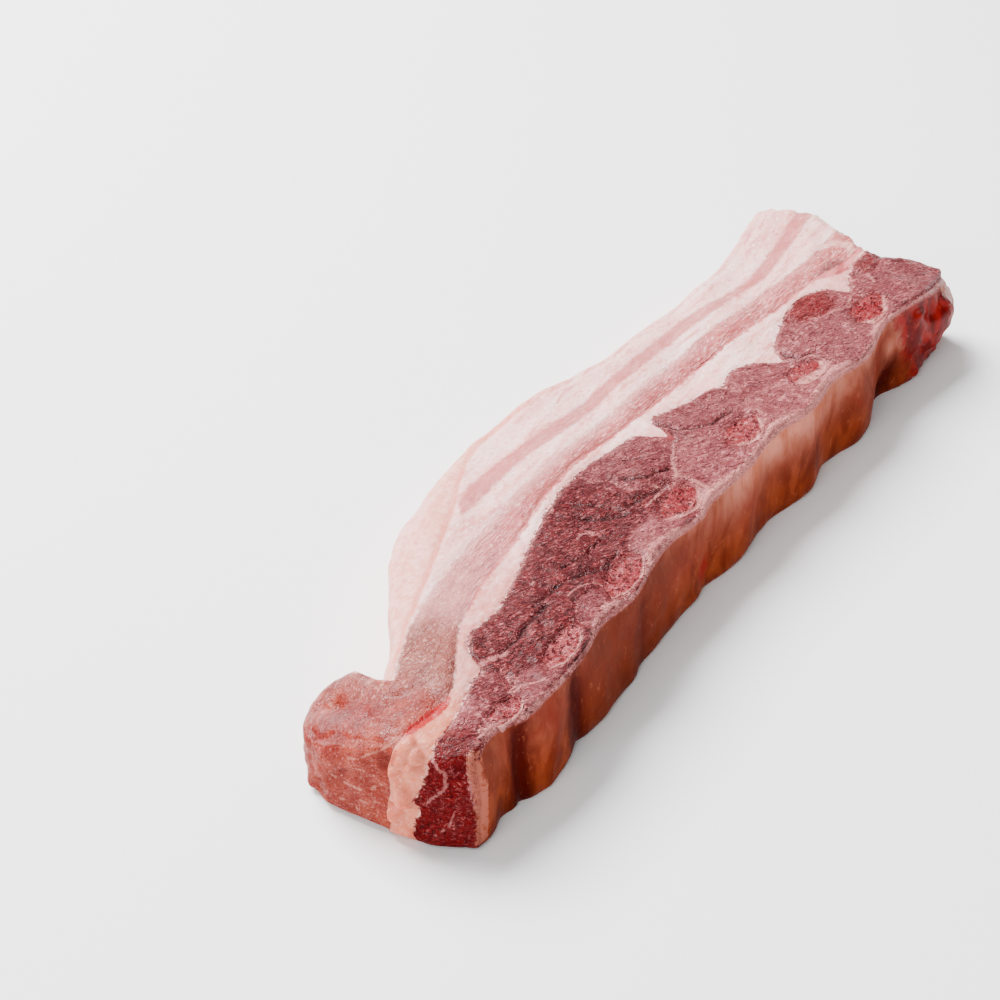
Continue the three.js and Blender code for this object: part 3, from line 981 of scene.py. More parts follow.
class FatBody(Effect):
    """Firm white fat with faint warm veins."""

    name = "Fat body"
    inputs = (("Warm", FLOAT, 0.0),)
    outputs = (("Colour", COLOUR), ("Height", FLOAT))

    @classmethod
    def wire(cls, bench: Bench, given: object, result: object) -> None:
        """White to pink patches, streaks along the strip, a peach tone where it is warm, painted shade in fine creases
        and painted glints.
        """
        place = bench.ruler()
        flat = bench.along("MULTIPLY", place, (0.22, 1.0, 0.6))
        streaks = bench.noise(flat, 2.4, 3.0, 0.55, 0.6).outputs[0]
        patches = bench.noise(flat, 7.0, 3.0, 0.55).outputs[0]
        colour = bench.blend(bench.grade(patches, 0.35, 0.65), tint(247, 198, 193), tint(240, 174, 168))
        colour = bench.blend(bench.grade(streaks, 0.5, 0.7, 0.0, 0.8), colour, tint(214, 128, 122))
        colour = bench.blend(bench.grade(streaks, 0.44, 0.3, 0.0, 0.6), colour, tint(250, 214, 208))
        colour = bench.blend(bench.sum("MULTIPLY", given["Warm"], 0.85), colour, tint(198, 100, 64))
        grain = bench.call(GrainAndPaintedLight.group(), Size=0.8, Stretch=2.0).outputs
        # Painted shade in the fine creases, then painted glints (highlights) on the grain.
        colour = bench.blend(bench.sum("MULTIPLY", grain["Creases"], 0.6), colour, tint(206, 116, 108))
        glints = bench.sum("MULTIPLY", grain["Glints"], bench.mixed(given["Warm"], 0.7, 0.2))
        colour = bench.blend(glints, colour, tint(252, 230, 226))
        bench.feed(result["Colour"], colour)
        fine = bench.sum("MULTIPLY", grain["Height"], 0.7)
        bench.feed(result["Height"], bench.sum("ADD", bench.sum("MULTIPLY", streaks, 0.6), fine))


class WetFilm(Effect):
    """Uneven wetness: where the juice stands the surface is smoother."""

    name = "Wet film"
    inputs = (("Dry", FLOAT, 0.5), ("Wet", FLOAT, 0.25), ("Most", FLOAT, 0.4))
    outputs = (("Roughness", FLOAT), ("Coat", FLOAT))

    @classmethod
    def wire(cls, bench: Bench, given: object, result: object) -> None:
        """Patches of wetness with fine breaks."""
        place = bench.ruler()
        broad = bench.noise(place, 5.0, 4.0, 0.6).outputs[0]
        wet = bench.grade(broad, 0.4, 0.62)
        bench.feed(result["Roughness"], bench.mixed(wet, given["Dry"], given["Wet"]))
        bench.feed(result["Coat"], bench.mixed(wet, 0.03, given["Most"]))


@dataclass(frozen=True)
class Finish:
    """A material's settings that are the same all over the surface."""

    name: str
    flesh: float = 0.15
    bump: float = 0.4
    reach: float = 0.35
    gloss: float = 0.2
    coat_rough: float = 0.2

    def start(self) -> tuple[bpy.types.Material, Bench, bpy.types.Node]:
        """Makes the material and its shader.

        Returns:
            The material, the bench on its tree and the shader node.
        """
        material = bpy.data.materials.new(self.name)
        material.use_nodes = True
        tree = material.node_tree
        tree.nodes.clear()
        bench = Bench(tree)
        shader = bench.lay("ShaderNodeBsdfPrincipled")
        output = bench.lay("ShaderNodeOutputMaterial")
        bench.feed(output.inputs["Surface"], shader.outputs[0])
        shader.inputs["Subsurface Weight"].default_value = self.flesh
        shader.inputs["Subsurface Radius"].default_value = (1.0, 0.35, 0.25)
        shader.inputs["Subsurface Scale"].default_value = 0.004
        shader.inputs["Coat Roughness"].default_value = self.coat_rough
        shader.inputs["Specular IOR Level"].default_value = self.gloss
        return material, bench, shader

    def surface(self, bench: Bench, shader: bpy.types.Node, colour: Socket, height: Socket, rough: Socket, coat: Socket) -> None:
        """Joins what changes over the surface to the shader.

        Args:
            bench: The bench on the material's tree.
            shader: The shader node.
            colour: Base colour.
            height: Relief, in units of the bump's reach.
            rough: Roughness.
            coat: Weight of the wet coat.
        """
        bump = bench.lay("ShaderNodeBump")
        bump.inputs["Strength"].default_value = self.bump
        bump.inputs["Distance"].default_value = self.reach * MILLIMETRE
        bench.feed(bump.inputs["Height"], height)
        bench.feed(shader.inputs["Base Color"], colour)
        bench.feed(shader.inputs["Roughness"], rough)
        bench.feed(shader.inputs["Coat Weight"], coat)
        bench.feed(shader.inputs["Normal"], bump.outputs[0])


@dataclass(frozen=True)
class MeatFinish(Finish):
    """Dark and pale rib muscle, threads of fat, and the lining on the rib side."""

    name: str = "rib_meat_finish"
    flesh: float = 0.08
    bump: float = 0.9
    reach: float = 0.6
    gloss: float = 0.22
    turn: float = 30.0
    dark: Colour = tint(54, 9, 13)
    middle: Colour = tint(76, 16, 21)
    # Thread colours: pale tissue between the bundles, partly a painted highlight on their wet ridges.
    thread: Colour = tint(152, 56, 60)
    pale: Colour = tint(136, 62, 67)
    pale_thread: Colour = tint(206, 128, 130)
    red: Colour = tint(104, 8, 12)
    red_thread: Colour = tint(156, 46, 46)
    # Colour of painted shade in the splits and crevices.
    split: Colour = tint(42, 5, 8)
    veil: Colour = tint(208, 130, 126)
    fringe: Colour = tint(180, 100, 82)

    def build(self) -> bpy.types.Material:
        """Makes the material."""
        material, bench, shader = self.start()
        place = bench.ruler()
        fibres = bench.call(
            FibreBundles.group(), Turn=math.radians(self.turn), Length=2.5, Width=0.8, Wander=1.8, Thickness=0.07
        )
        grain = bench.call(GrainAndPaintedLight.group(), Turn=math.radians(self.turn), Size=0.5, Stretch=2.6).outputs
        colour = self.muscle(bench, place, fibres)
        # Painted shade in the fine creases of the grain.
        colour = bench.blend(bench.sum("MULTIPLY", grain["Creases"], 0.5), colour, tint(48, 7, 11))
        # Painted glints: highlights painted on the grain, fewer on the end face.
        glints = bench.sum("MULTIPLY", grain["Glints"], bench.mixed(bench.layer("face"), 0.32, 0.2))
        colour = bench.blend(glints, colour, tint(222, 142, 142))
        veil = bench.sum("MULTIPLY", bench.noise(place, 1.2, 4.0, 0.65, 1.0).outputs[0], 0.9)
        veil = bench.sum("ADD", veil, bench.sum("MULTIPLY", fibres.outputs["Threads"], 0.35))
        veil = bench.grade(bench.sum("ADD", veil, bench.sum("MULTIPLY", bench.layer("veil"), 0.75)), 0.72, 1.25)
        colour = bench.blend(veil, colour, self.veil)
        fat = bench.call(FatBody.group(), Warm=bench.layer("warm"))
        fatty = bench.call(RaggedEdge.group(), Distance=bench.layer("fatty"), Rag=0.9, Size=1.3, Soft=0.3).outputs[0]
        line = bench.call(FrayedLine.group(), Closeness=bench.layer("thread"), Size=0.9).outputs[0]
        line = bench.sum("MULTIPLY", line, bench.mixed(bench.layer("face"), 0.6, 0.42))
        colour = bench.blend(line, colour, tint(206, 128, 124))
        colour = bench.blend(fatty, colour, fat.outputs["Colour"])
        lining, wet = self.lining(bench, place)
        lined = bench.grade(bench.layer("lined"), 0.0, 1.0)
        colour = bench.blend(lined, colour, lining)
        fringe = bench.call(FrayedLine.group(), Closeness=bench.layer("fringe"), Size=1.3).outputs[0]
        colour = bench.blend(bench.sum("MULTIPLY", fringe, 0.8), colour, self.fringe)
        film = bench.call(WetFilm.group(), Dry=0.42, Wet=0.28, Most=0.06)
        smooth = bench.noise(bench.along("MULTIPLY", place, (1.0, 1.0, 0.3)), 3.2, 3.0).outputs[0]
        smooth = bench.sum("ADD", bench.sum("MULTIPLY", smooth, 0.7), bench.sum("MULTIPLY", wet, 0.8))
        fine = bench.sum("ADD", fibres.outputs["Height"], bench.sum("MULTIPLY", grain["Height"], 0.6))
        height = bench.mixed(fatty, fine, bench.sum("MULTIPLY", fat.outputs["Height"], 0.6))
        height = bench.mixed(lined, height, bench.sum("MULTIPLY", smooth, 0.5))
        rough = bench.mixed(lined, film.outputs["Roughness"], 0.36)
        coat = bench.mixed(lined, film.outputs["Coat"], bench.mixed(bench.layer("wet"), 0.03, 0.14))
        coat = bench.sum("MULTIPLY", coat, bench.mixed(bench.layer("face"), 1.0, 0.35))
        self.surface(bench, shader, colour, height, rough, coat)
        return material

    def muscle(self, bench: Bench, place: Socket, fibres: bpy.types.Node) -> Socket:
        """Colour of the cut muscle, with painted highlights on its threads and painted shade in its crevices and
        splits.

        Args:
            bench: The bench on the material's tree.
            place: The place in millimetres.
            fibres: The fibre bundles' group node.

        Returns:
            The colour socket.
        """
        broad = bench.noise(place, 6.0, 4.0, 0.6).outputs[0]
        pale = bench.sum("ADD", bench.layer("pale"), bench.sum("MULTIPLY", bench.sum("SUBTRACT", broad, 0.5), 0.8))
        pale = bench.grade(pale, 0.0, 1.0)
        dark = bench.blend(bench.grade(bench.noise(place, 2.4, 3.0).outputs[0], 0.36, 0.62), self.dark, self.middle)
        body = bench.blend(pale, dark, self.pale)
        patches = bench.grade(bench.noise(place, 3.0, 3.0, 0.6).outputs[0], 0.3, 0.6, 0.35, 1.0)
        red = bench.sum("MULTIPLY", bench.layer("red"), patches)
        body = bench.blend(red, body, self.red)
        # Pale threads: partly pale tissue, partly a painted highlight on the bundles' wet ridges.
        bright = bench.blend(pale, self.thread, self.pale_thread)
        bright = bench.blend(red, bright, self.red_thread)
        shown = bench.sum("MULTIPLY", fibres.outputs["Threads"], bench.mixed(bench.layer("face"), 0.74, 0.22))
        colour = bench.blend(shown, body, bright)
        # Painted shade in the crevices between the bundles.
        deep = bench.blend(pale, self.split, tint(88, 28, 33))
        colour = bench.blend(bench.sum("MULTIPLY", fibres.outputs["Crevices"], 0.78), colour, deep)
        # Painted shade in the splits between muscles.
        splits = bench.grade(bench.layer("split"), 0.0, 0.8)
        return bench.blend(bench.sum("MULTIPLY", splits, 0.75), colour, self.split)

    def lining(self, bench: Bench, place: Socket) -> tuple[Socket, Socket]:
        """Colour of the thin lining over the rib side: cream at the top, brown below, with painted shade towards the
        bottom, over stretches of the side and in its grooves and hollow.

        Args:
            bench: The bench on the material's tree.
            place: The place in millimetres.

        Returns:
            The colour, and relief of the bare wet flesh at the far end.
        """
        tall = bench.along("MULTIPLY", place, (1.0, 1.0, 0.5))
        folds = bench.noise(tall, 5.5, 4.0, 0.55, 0.7).outputs[0]
        colour = bench.blend(bench.grade(folds, 0.36, 0.66), tint(134, 62, 43), tint(108, 42, 26))
        flush = bench.call(Mottle.group(), Size=12.0, Low=0.42, High=0.68).outputs[0]
        colour = bench.blend(bench.sum("MULTIPLY", flush, 0.5), colour, tint(124, 34, 22))
        # Painted shade: the side is painted darker and browner towards the bottom.
        low = bench.blend(bench.grade(folds, 0.35, 0.68), tint(138, 56, 25), tint(102, 33, 13))
        colour = bench.blend(bench.sum("MULTIPLY", bench.layer("depth"), 0.85), colour, low)
        cream = bench.blend(bench.grade(folds, 0.35, 0.66), tint(216, 134, 114), tint(190, 102, 76))
        # Painted shade over stretches of the lined side.
        colour = bench.blend(bench.sum("MULTIPLY", bench.layer("side_shade"), 0.75), colour, tint(98, 33, 15))
        colour = bench.blend(bench.layer("film"), colour, cream)
        raw = bench.call(
            RaggedEdge.group(), Distance=bench.sum("SUBTRACT", bench.layer("raw"), 0.5), Rag=0.3, Size=1.8, Soft=0.2
        ).outputs[0]
        colour = bench.blend(bench.sum("MULTIPLY", raw, 0.75), colour, tint(140, 24, 20))
        strands = bench.noise(bench.along("MULTIPLY", place, (1.0, 1.0, 0.45)), 4.0, 4.0, 0.55, 0.5).outputs[0]
        flesh = bench.blend(bench.grade(strands, 0.36, 0.64), tint(134, 20, 17), tint(82, 3, 4))
        flesh = bench.blend(bench.grade(strands, 0.6, 0.8, 0.0, 0.4), flesh, tint(172, 74, 62))
        wet = bench.call(
            RaggedEdge.group(), Distance=bench.sum("SUBTRACT", bench.layer("wet"), 0.5), Rag=0.35, Size=3.4, Soft=0.3
        ).outputs[0]
        colour = bench.blend(wet, colour, flesh)
        # Painted shade in the lining's grooves and hollow.
        deep = bench.sum("MULTIPLY", bench.sum("SUBTRACT", folds, 0.5), 0.7)
        deep = bench.grade(bench.sum("ADD", bench.layer("groove_shade"), deep), 0.1, 1.0)
        colour = bench.blend(deep, colour, tint(66, 8, 3))
        stain = bench.noise(tall, 1.6, 4.0, 0.65, 0.8).outputs[0]
        colour = bench.blend(bench.grade(stain, 0.55, 0.75, 0.0, 0.35), colour, tint(88, 18, 8))
        colour = bench.blend(bench.grade(stain, 0.42, 0.26, 0.0, 0.3), colour, tint(196, 104, 76))
        return colour, bench.sum("MULTIPLY", wet, strands)


@dataclass(frozen=True)
class SeamFinish(Finish):
    """The fat seam between the dark meat and the belly lean."""

    name: str = "fat_seam_finish"
    flesh: float = 0.2
    bump: float = 0.6
    reach: float = 0.5
    gloss: float = 0.25

    def build(self) -> bpy.types.Material:
        """Makes the material."""
        material, bench, shader = self.start()
        fat = bench.call(FatBody.group(), Warm=bench.layer("warm"))
        blood = bench.call(RaggedEdge.group(), Distance=bench.layer("blood"), Rag=0.3, Size=1.2, Soft=0.35).outputs[0]
        meaty = bench.call(RaggedEdge.group(), Distance=bench.layer("meaty"), Rag=0.9, Size=1.3, Soft=0.3).outputs[0]
        tender = bench.call(Mottle.group(), Size=2.4, Low=0.3, High=0.62).outputs[0]
        tender = bench.sum("MULTIPLY", bench.layer("tender"), bench.mixed(tender, 0.95, 0.5))
        colour = bench.blend(tender, fat.outputs["Colour"], tint(204, 118, 110))
        patches = bench.noise(bench.along("MULTIPLY", bench.ruler(), (0.4, 1.6, 1.0)), 2.6, 4.0, 0.6).outputs[0]
        lean = bench.blend(bench.grade(patches, 0.36, 0.64), tint(206, 118, 116), tint(164, 74, 75))
        fatty = bench.call(RaggedEdge.group(), Distance=bench.layer("leanward"), Rag=0.6, Size=1.7, Soft=0.4).outputs[0]
        colour = bench.blend(fatty, lean, colour)
        colour = bench.blend(meaty, tint(132, 54, 58), colour)
        flush = bench.call(Mottle.group(), Size=3.4, Low=0.45, High=0.68).outputs[0]
        flush = bench.sum("MULTIPLY", flush, bench.sum("MULTIPLY", bench.layer("warm"), 0.6))
        colour = bench.blend(flush, colour, tint(190, 84, 62))
        colour = bench.blend(bench.sum("MULTIPLY", blood, 0.95), colour, tint(158, 6, 14))
        film = bench.call(WetFilm.group(), Dry=0.42, Wet=0.28, Most=0.06)
        self.surface(bench, shader, colour, fat.outputs["Height"], film.outputs["Roughness"], film.outputs["Coat"])
        return material


@dataclass(frozen=True)
class LeanFinish(Finish):
    """Pale belly lean: fine fibres along the strip, warmer and wetter at the flap."""

    name: str = "belly_lean_finish"
    flesh: float = 0.2
    bump: float = 0.6
    reach: float = 0.5
    gloss: float = 0.3

    def build(self) -> bpy.types.Material:
        """Makes the material."""
        material, bench, shader = self.start()
        place = bench.ruler()
        fibres = bench.call(FibreBundles.group(), Turn=0.05, Length=5.5, Width=0.6, Wander=0.6, Thickness=0.08)
        soft = bench.call(FibreBundles.group(), Turn=0.9, Length=1.6, Width=1.1, Wander=2.5, Thickness=0.06)
        near = bench.layer("near")
        flap = bench.layer("flap")
        threads = bench.mixed(near, fibres.outputs["Threads"], soft.outputs["Threads"])
        patches = bench.noise(bench.along("MULTIPLY", place, (0.35, 1.0, 1.0)), 4.0, 4.0, 0.55).outputs[0]
        mid_tone = bench.blend(bench.grade(patches, 0.35, 0.65), tint(192, 99, 98), tint(168, 78, 78))
        far_tone = bench.blend(bench.grade(patches, 0.35, 0.65), tint(194, 96, 94), tint(170, 76, 77))
        band = bench.blend(bench.layer("far"), mid_tone, far_tone)
        near_tone = bench.blend(bench.grade(patches, 0.35, 0.65), tint(144, 78, 68), tint(122, 62, 56))
        flap_tone = bench.blend(bench.grade(patches, 0.4, 0.6), tint(130, 34, 30), tint(102, 18, 20))
        rim_tone = bench.blend(bench.grade(patches, 0.4, 0.6), tint(160, 70, 54), tint(140, 52, 42))
        colour = bench.blend(near, band, near_tone)
        colour = bench.blend(flap, colour, flap_tone)
        colour = bench.blend(bench.layer("rim"), colour, rim_tone)
        clear = bench.call(Mottle.group(), Size=4.5, Low=0.46, High=0.62).outputs[0]
        clear = bench.sum("MULTIPLY", clear, bench.sum("MULTIPLY", flap, 0.45))
        colour = bench.blend(clear, colour, tint(112, 28, 28))
        bright = bench.blend(near, tint(236, 158, 156), tint(192, 120, 110))
        bright = bench.blend(bench.layer("far"), bright, tint(244, 172, 168))
        colour = bench.blend(bench.sum("MULTIPLY", threads, bench.mixed(near, 0.6, 0.2)), colour, bright)
        grain = bench.call(GrainAndPaintedLight.group(), Size=0.55, Stretch=3.2).outputs
        # Painted shade in the fine creases of the grain.
        crease = bench.blend(near, tint(144, 60, 60), tint(92, 30, 28))
        colour = bench.blend(bench.sum("MULTIPLY", grain["Creases"], 0.6), colour, crease)
        # Painted glints: highlights painted on the grain.
        glint = bench.blend(near, tint(252, 214, 210), bench.blend(flap, tint(228, 164, 152), tint(224, 146, 136)))
        colour = bench.blend(bench.sum("MULTIPLY", grain["Glints"], bench.mixed(near, 0.62, bench.mixed(flap, 0.5, 0.36))), colour, glint)
        # Painted shade in the crevices between the fibres, away from the near end.
        dark = bench.sum("MULTIPLY", fibres.outputs["Crevices"], bench.mixed(near, 0.6, 0.0))
        colour = bench.blend(dark, colour, tint(140, 58, 60))
        colour = bench.blend(bench.sum("MULTIPLY", bench.layer("blush"), 0.6), colour, tint(240, 174, 169))
        line = bench.call(RaggedEdge.group(), Distance=bench.layer("brown"), Rag=0.4, Size=2.0, Soft=0.5).outputs[0]
        colour = bench.blend(bench.sum("MULTIPLY", line, 0.6), colour, tint(140, 58, 46))
        fat = bench.call(FatBody.group(), Warm=bench.layer("warm"))
        fatty = bench.call(RaggedEdge.group(), Distance=bench.layer("fatty"), Rag=0.6, Size=1.7, Soft=0.4).outputs[0]
        colour = bench.blend(fatty, colour, fat.outputs["Colour"])
        thread = bench.call(FrayedLine.group(), Closeness=bench.layer("thread"), Size=1.2).outputs[0]
        colour = bench.blend(bench.sum("MULTIPLY", thread, 0.4), colour, tint(214, 142, 124))
        purple = bench.call(RaggedEdge.group(), Distance=bench.layer("dusk"), Rag=0.5, Size=3.0, Soft=1.0).outputs[0]
        colour = bench.blend(bench.sum("MULTIPLY", purple, 0.7), colour, tint(112, 56, 58))
        # Painted shade in the recess under the flap's fold on the end face.
        recess_shade = bench.call(RaggedEdge.group(), Distance=bench.layer("recess_shade"), Rag=0.4, Size=2.5, Soft=0.8).outputs[0]
        colour = bench.blend(bench.sum("MULTIPLY", recess_shade, 0.8), colour, tint(104, 34, 28))
        blood = bench.call(RaggedEdge.group(), Distance=bench.layer("blood"), Rag=0.3, Size=1.2, Soft=0.35).outputs[0]
        colour = bench.blend(bench.sum("MULTIPLY", blood, 0.95), colour, tint(158, 6, 14))
        film = bench.call(WetFilm.group(), Dry=0.4, Wet=0.26, Most=0.06)
        height = bench.mixed(near, fibres.outputs["Height"], soft.outputs["Height"])
        height = bench.sum("ADD", height, bench.sum("MULTIPLY", grain["Height"], 0.7))
        self.surface(bench, shader, colour, height, film.outputs["Roughness"], film.outputs["Coat"])
        return material


@dataclass(frozen=True)
class OuterFinish(Finish):
    """Outer fat with a streak of lean in it, and the rind beyond its pinkish line."""

    name: str = "outer_fat_finish"
    flesh: float = 0.2
    bump: float = 0.5
    reach: float = 0.45
    gloss: float = 0.25

    def build(self) -> bpy.types.Material:
        """Makes the material."""
        material, bench, shader = self.start()
        place = bench.ruler()
        fat = bench.call(FatBody.group(), Warm=bench.layer("warm"))
        fibres = bench.call(FibreBundles.group(), Turn=0.05, Length=5.5, Width=0.6, Wander=0.6, Thickness=0.08)
        lean = bench.blend(bench.sum("MULTIPLY", fibres.outputs["Threads"], 0.5), tint(178, 86, 86), tint(226, 144, 141))
        # Painted shade in the crevices of the streak's fibres.
        lean = bench.blend(bench.sum("MULTIPLY", fibres.outputs["Crevices"], 0.7), lean, tint(140, 58, 58))
        streak = bench.call(RaggedEdge.group(), Distance=bench.layer("streak"), Rag=0.5, Size=2.2, Soft=0.7).outputs[0]
        colour = bench.blend(bench.sum("MULTIPLY", streak, 0.82), fat.outputs["Colour"], lean)
        pores = bench.noise(place, 1.6, 3.0, 0.6).outputs[0]
        rind = bench.blend(bench.grade(pores, 0.3, 0.7), tint(242, 178, 168), tint(222, 138, 124))
        rind = bench.blend(bench.call(Mottle.group(), Size=14.0, Low=0.4, High=0.7).outputs[0], rind, tint(230, 150, 136))
        skin = bench.call(RaggedEdge.group(), Distance=bench.layer("skin"), Rag=0.15, Size=2.0, Soft=0.4).outputs[0]
        colour = bench.blend(skin, colour, rind)
        line = bench.call(RaggedEdge.group(), Distance=bench.layer("edge"), Rag=0.2, Size=2.0, Soft=0.5).outputs[0]
        colour = bench.blend(bench.sum("MULTIPLY", line, 0.65), colour, tint(226, 120, 100))
        film = bench.call(WetFilm.group(), Dry=0.45, Wet=0.3, Most=0.06)
        height = bench.mixed(skin, fat.outputs["Height"], bench.sum("MULTIPLY", pores, 0.5))
        self.surface(bench, shader, colour, height, film.outputs["Roughness"], film.outputs["Coat"])
        return material


@dataclass(frozen=True)
class BoneFinish(Finish):
    """Sawn bone: porous red marrow in a pale uneven ring."""

    name: str = "rib_bone_finish"
    flesh: float = 0.08
    bump: float = 0.9
    reach: float = 0.7
    gloss: float = 0.3

    def build(self) -> bpy.types.Material:
        """Makes the material."""
        material, bench, shader = self.start()
        place = bench.ruler()
        spongy = bench.call(FibreBundles.group(), Turn=0.5, Length=1.1, Width=0.8, Wander=1.6, Thickness=0.075)
        cells = bench.lay("ShaderNodeTexVoronoi", feature="F1")
        pull = bench.along("MULTIPLY", bench.noise(place, 1.3, 2.0).outputs["Color"], (1.6, 1.6, 1.6))
        bench.feed(cells.inputs["Vector"], bench.along("ADD", place, pull))
        cells.inputs["Scale"].default_value = 1.0 / 1.3
        pores = bench.grade(cells.outputs["Distance"], 0.44, 0.2)
        tone = bench.noise(place, 2.4, 3.0, 0.6).outputs[0]
        marrow = bench.blend(bench.grade(tone, 0.36, 0.62), tint(122, 16, 24), tint(140, 48, 52))
        marrow = bench.blend(bench.layer("flush"), marrow, tint(128, 4, 16))
        granules = bench.sum("MULTIPLY", spongy.outputs["Threads"], bench.mixed(bench.layer("flush"), 0.85, 0.45))
        marrow = bench.blend(granules, marrow, tint(206, 118, 120))
        marrow = bench.blend(bench.sum("MULTIPLY", pores, 0.8), marrow, tint(66, 3, 8))
        shell = bench.blend(bench.grade(tone, 0.4, 0.6), tint(196, 116, 112), tint(222, 146, 140))
        white = bench.call(RaggedEdge.group(), Distance=bench.layer("white"), Rag=0.6, Size=1.3, Soft=0.5).outputs[0]
        colour = bench.blend(bench.sum("MULTIPLY", white, 0.85), marrow, shell)
        ring = bench.call(RaggedEdge.group(), Distance=bench.layer("ring"), Rag=0.6, Size=1.4, Soft=0.5).outputs[0]
        meat = bench.blend(bench.sum("MULTIPLY", spongy.outputs["Threads"], 0.6), tint(92, 34, 37), tint(160, 84, 84))
        colour = bench.blend(bench.sum("MULTIPLY", ring, 0.9), colour, meat)
        film = bench.call(WetFilm.group(), Dry=0.45, Wet=0.28, Most=0.06)
        height = bench.sum("SUBTRACT", bench.sum("MULTIPLY", spongy.outputs["Height"], 0.8), pores)
        self.surface(bench, shader, colour, height, film.outputs["Roughness"], film.outputs["Coat"])
        return material


BLOOD = Trace(((-4.6, 18.3), (-2.3, 17.8), (0.4, 17.3), (3.3, 16.8), (6.8, 16.2), (9.5, 16.1), (12.4, 16.4)), 2.3)


def smear(x: Array, y: Array, z: Array) -> Array:
    """How far inside the smear of blood a place on the upper face is, in millimetres."""
    thin = 1.5 * share(np.abs(x - 3), 4, 11)
    return np.where(z > 20, BLOOD.inside(x, y) * 1.15 - thin, -2.0)


def lean_creep(x: Array) -> Array:
    """How far the lean's colour creeps over the fat seam's edge, in millimetres."""
    return 0.9 * share(x, 30, 50) + 2.4 * share(x, 206, 214)


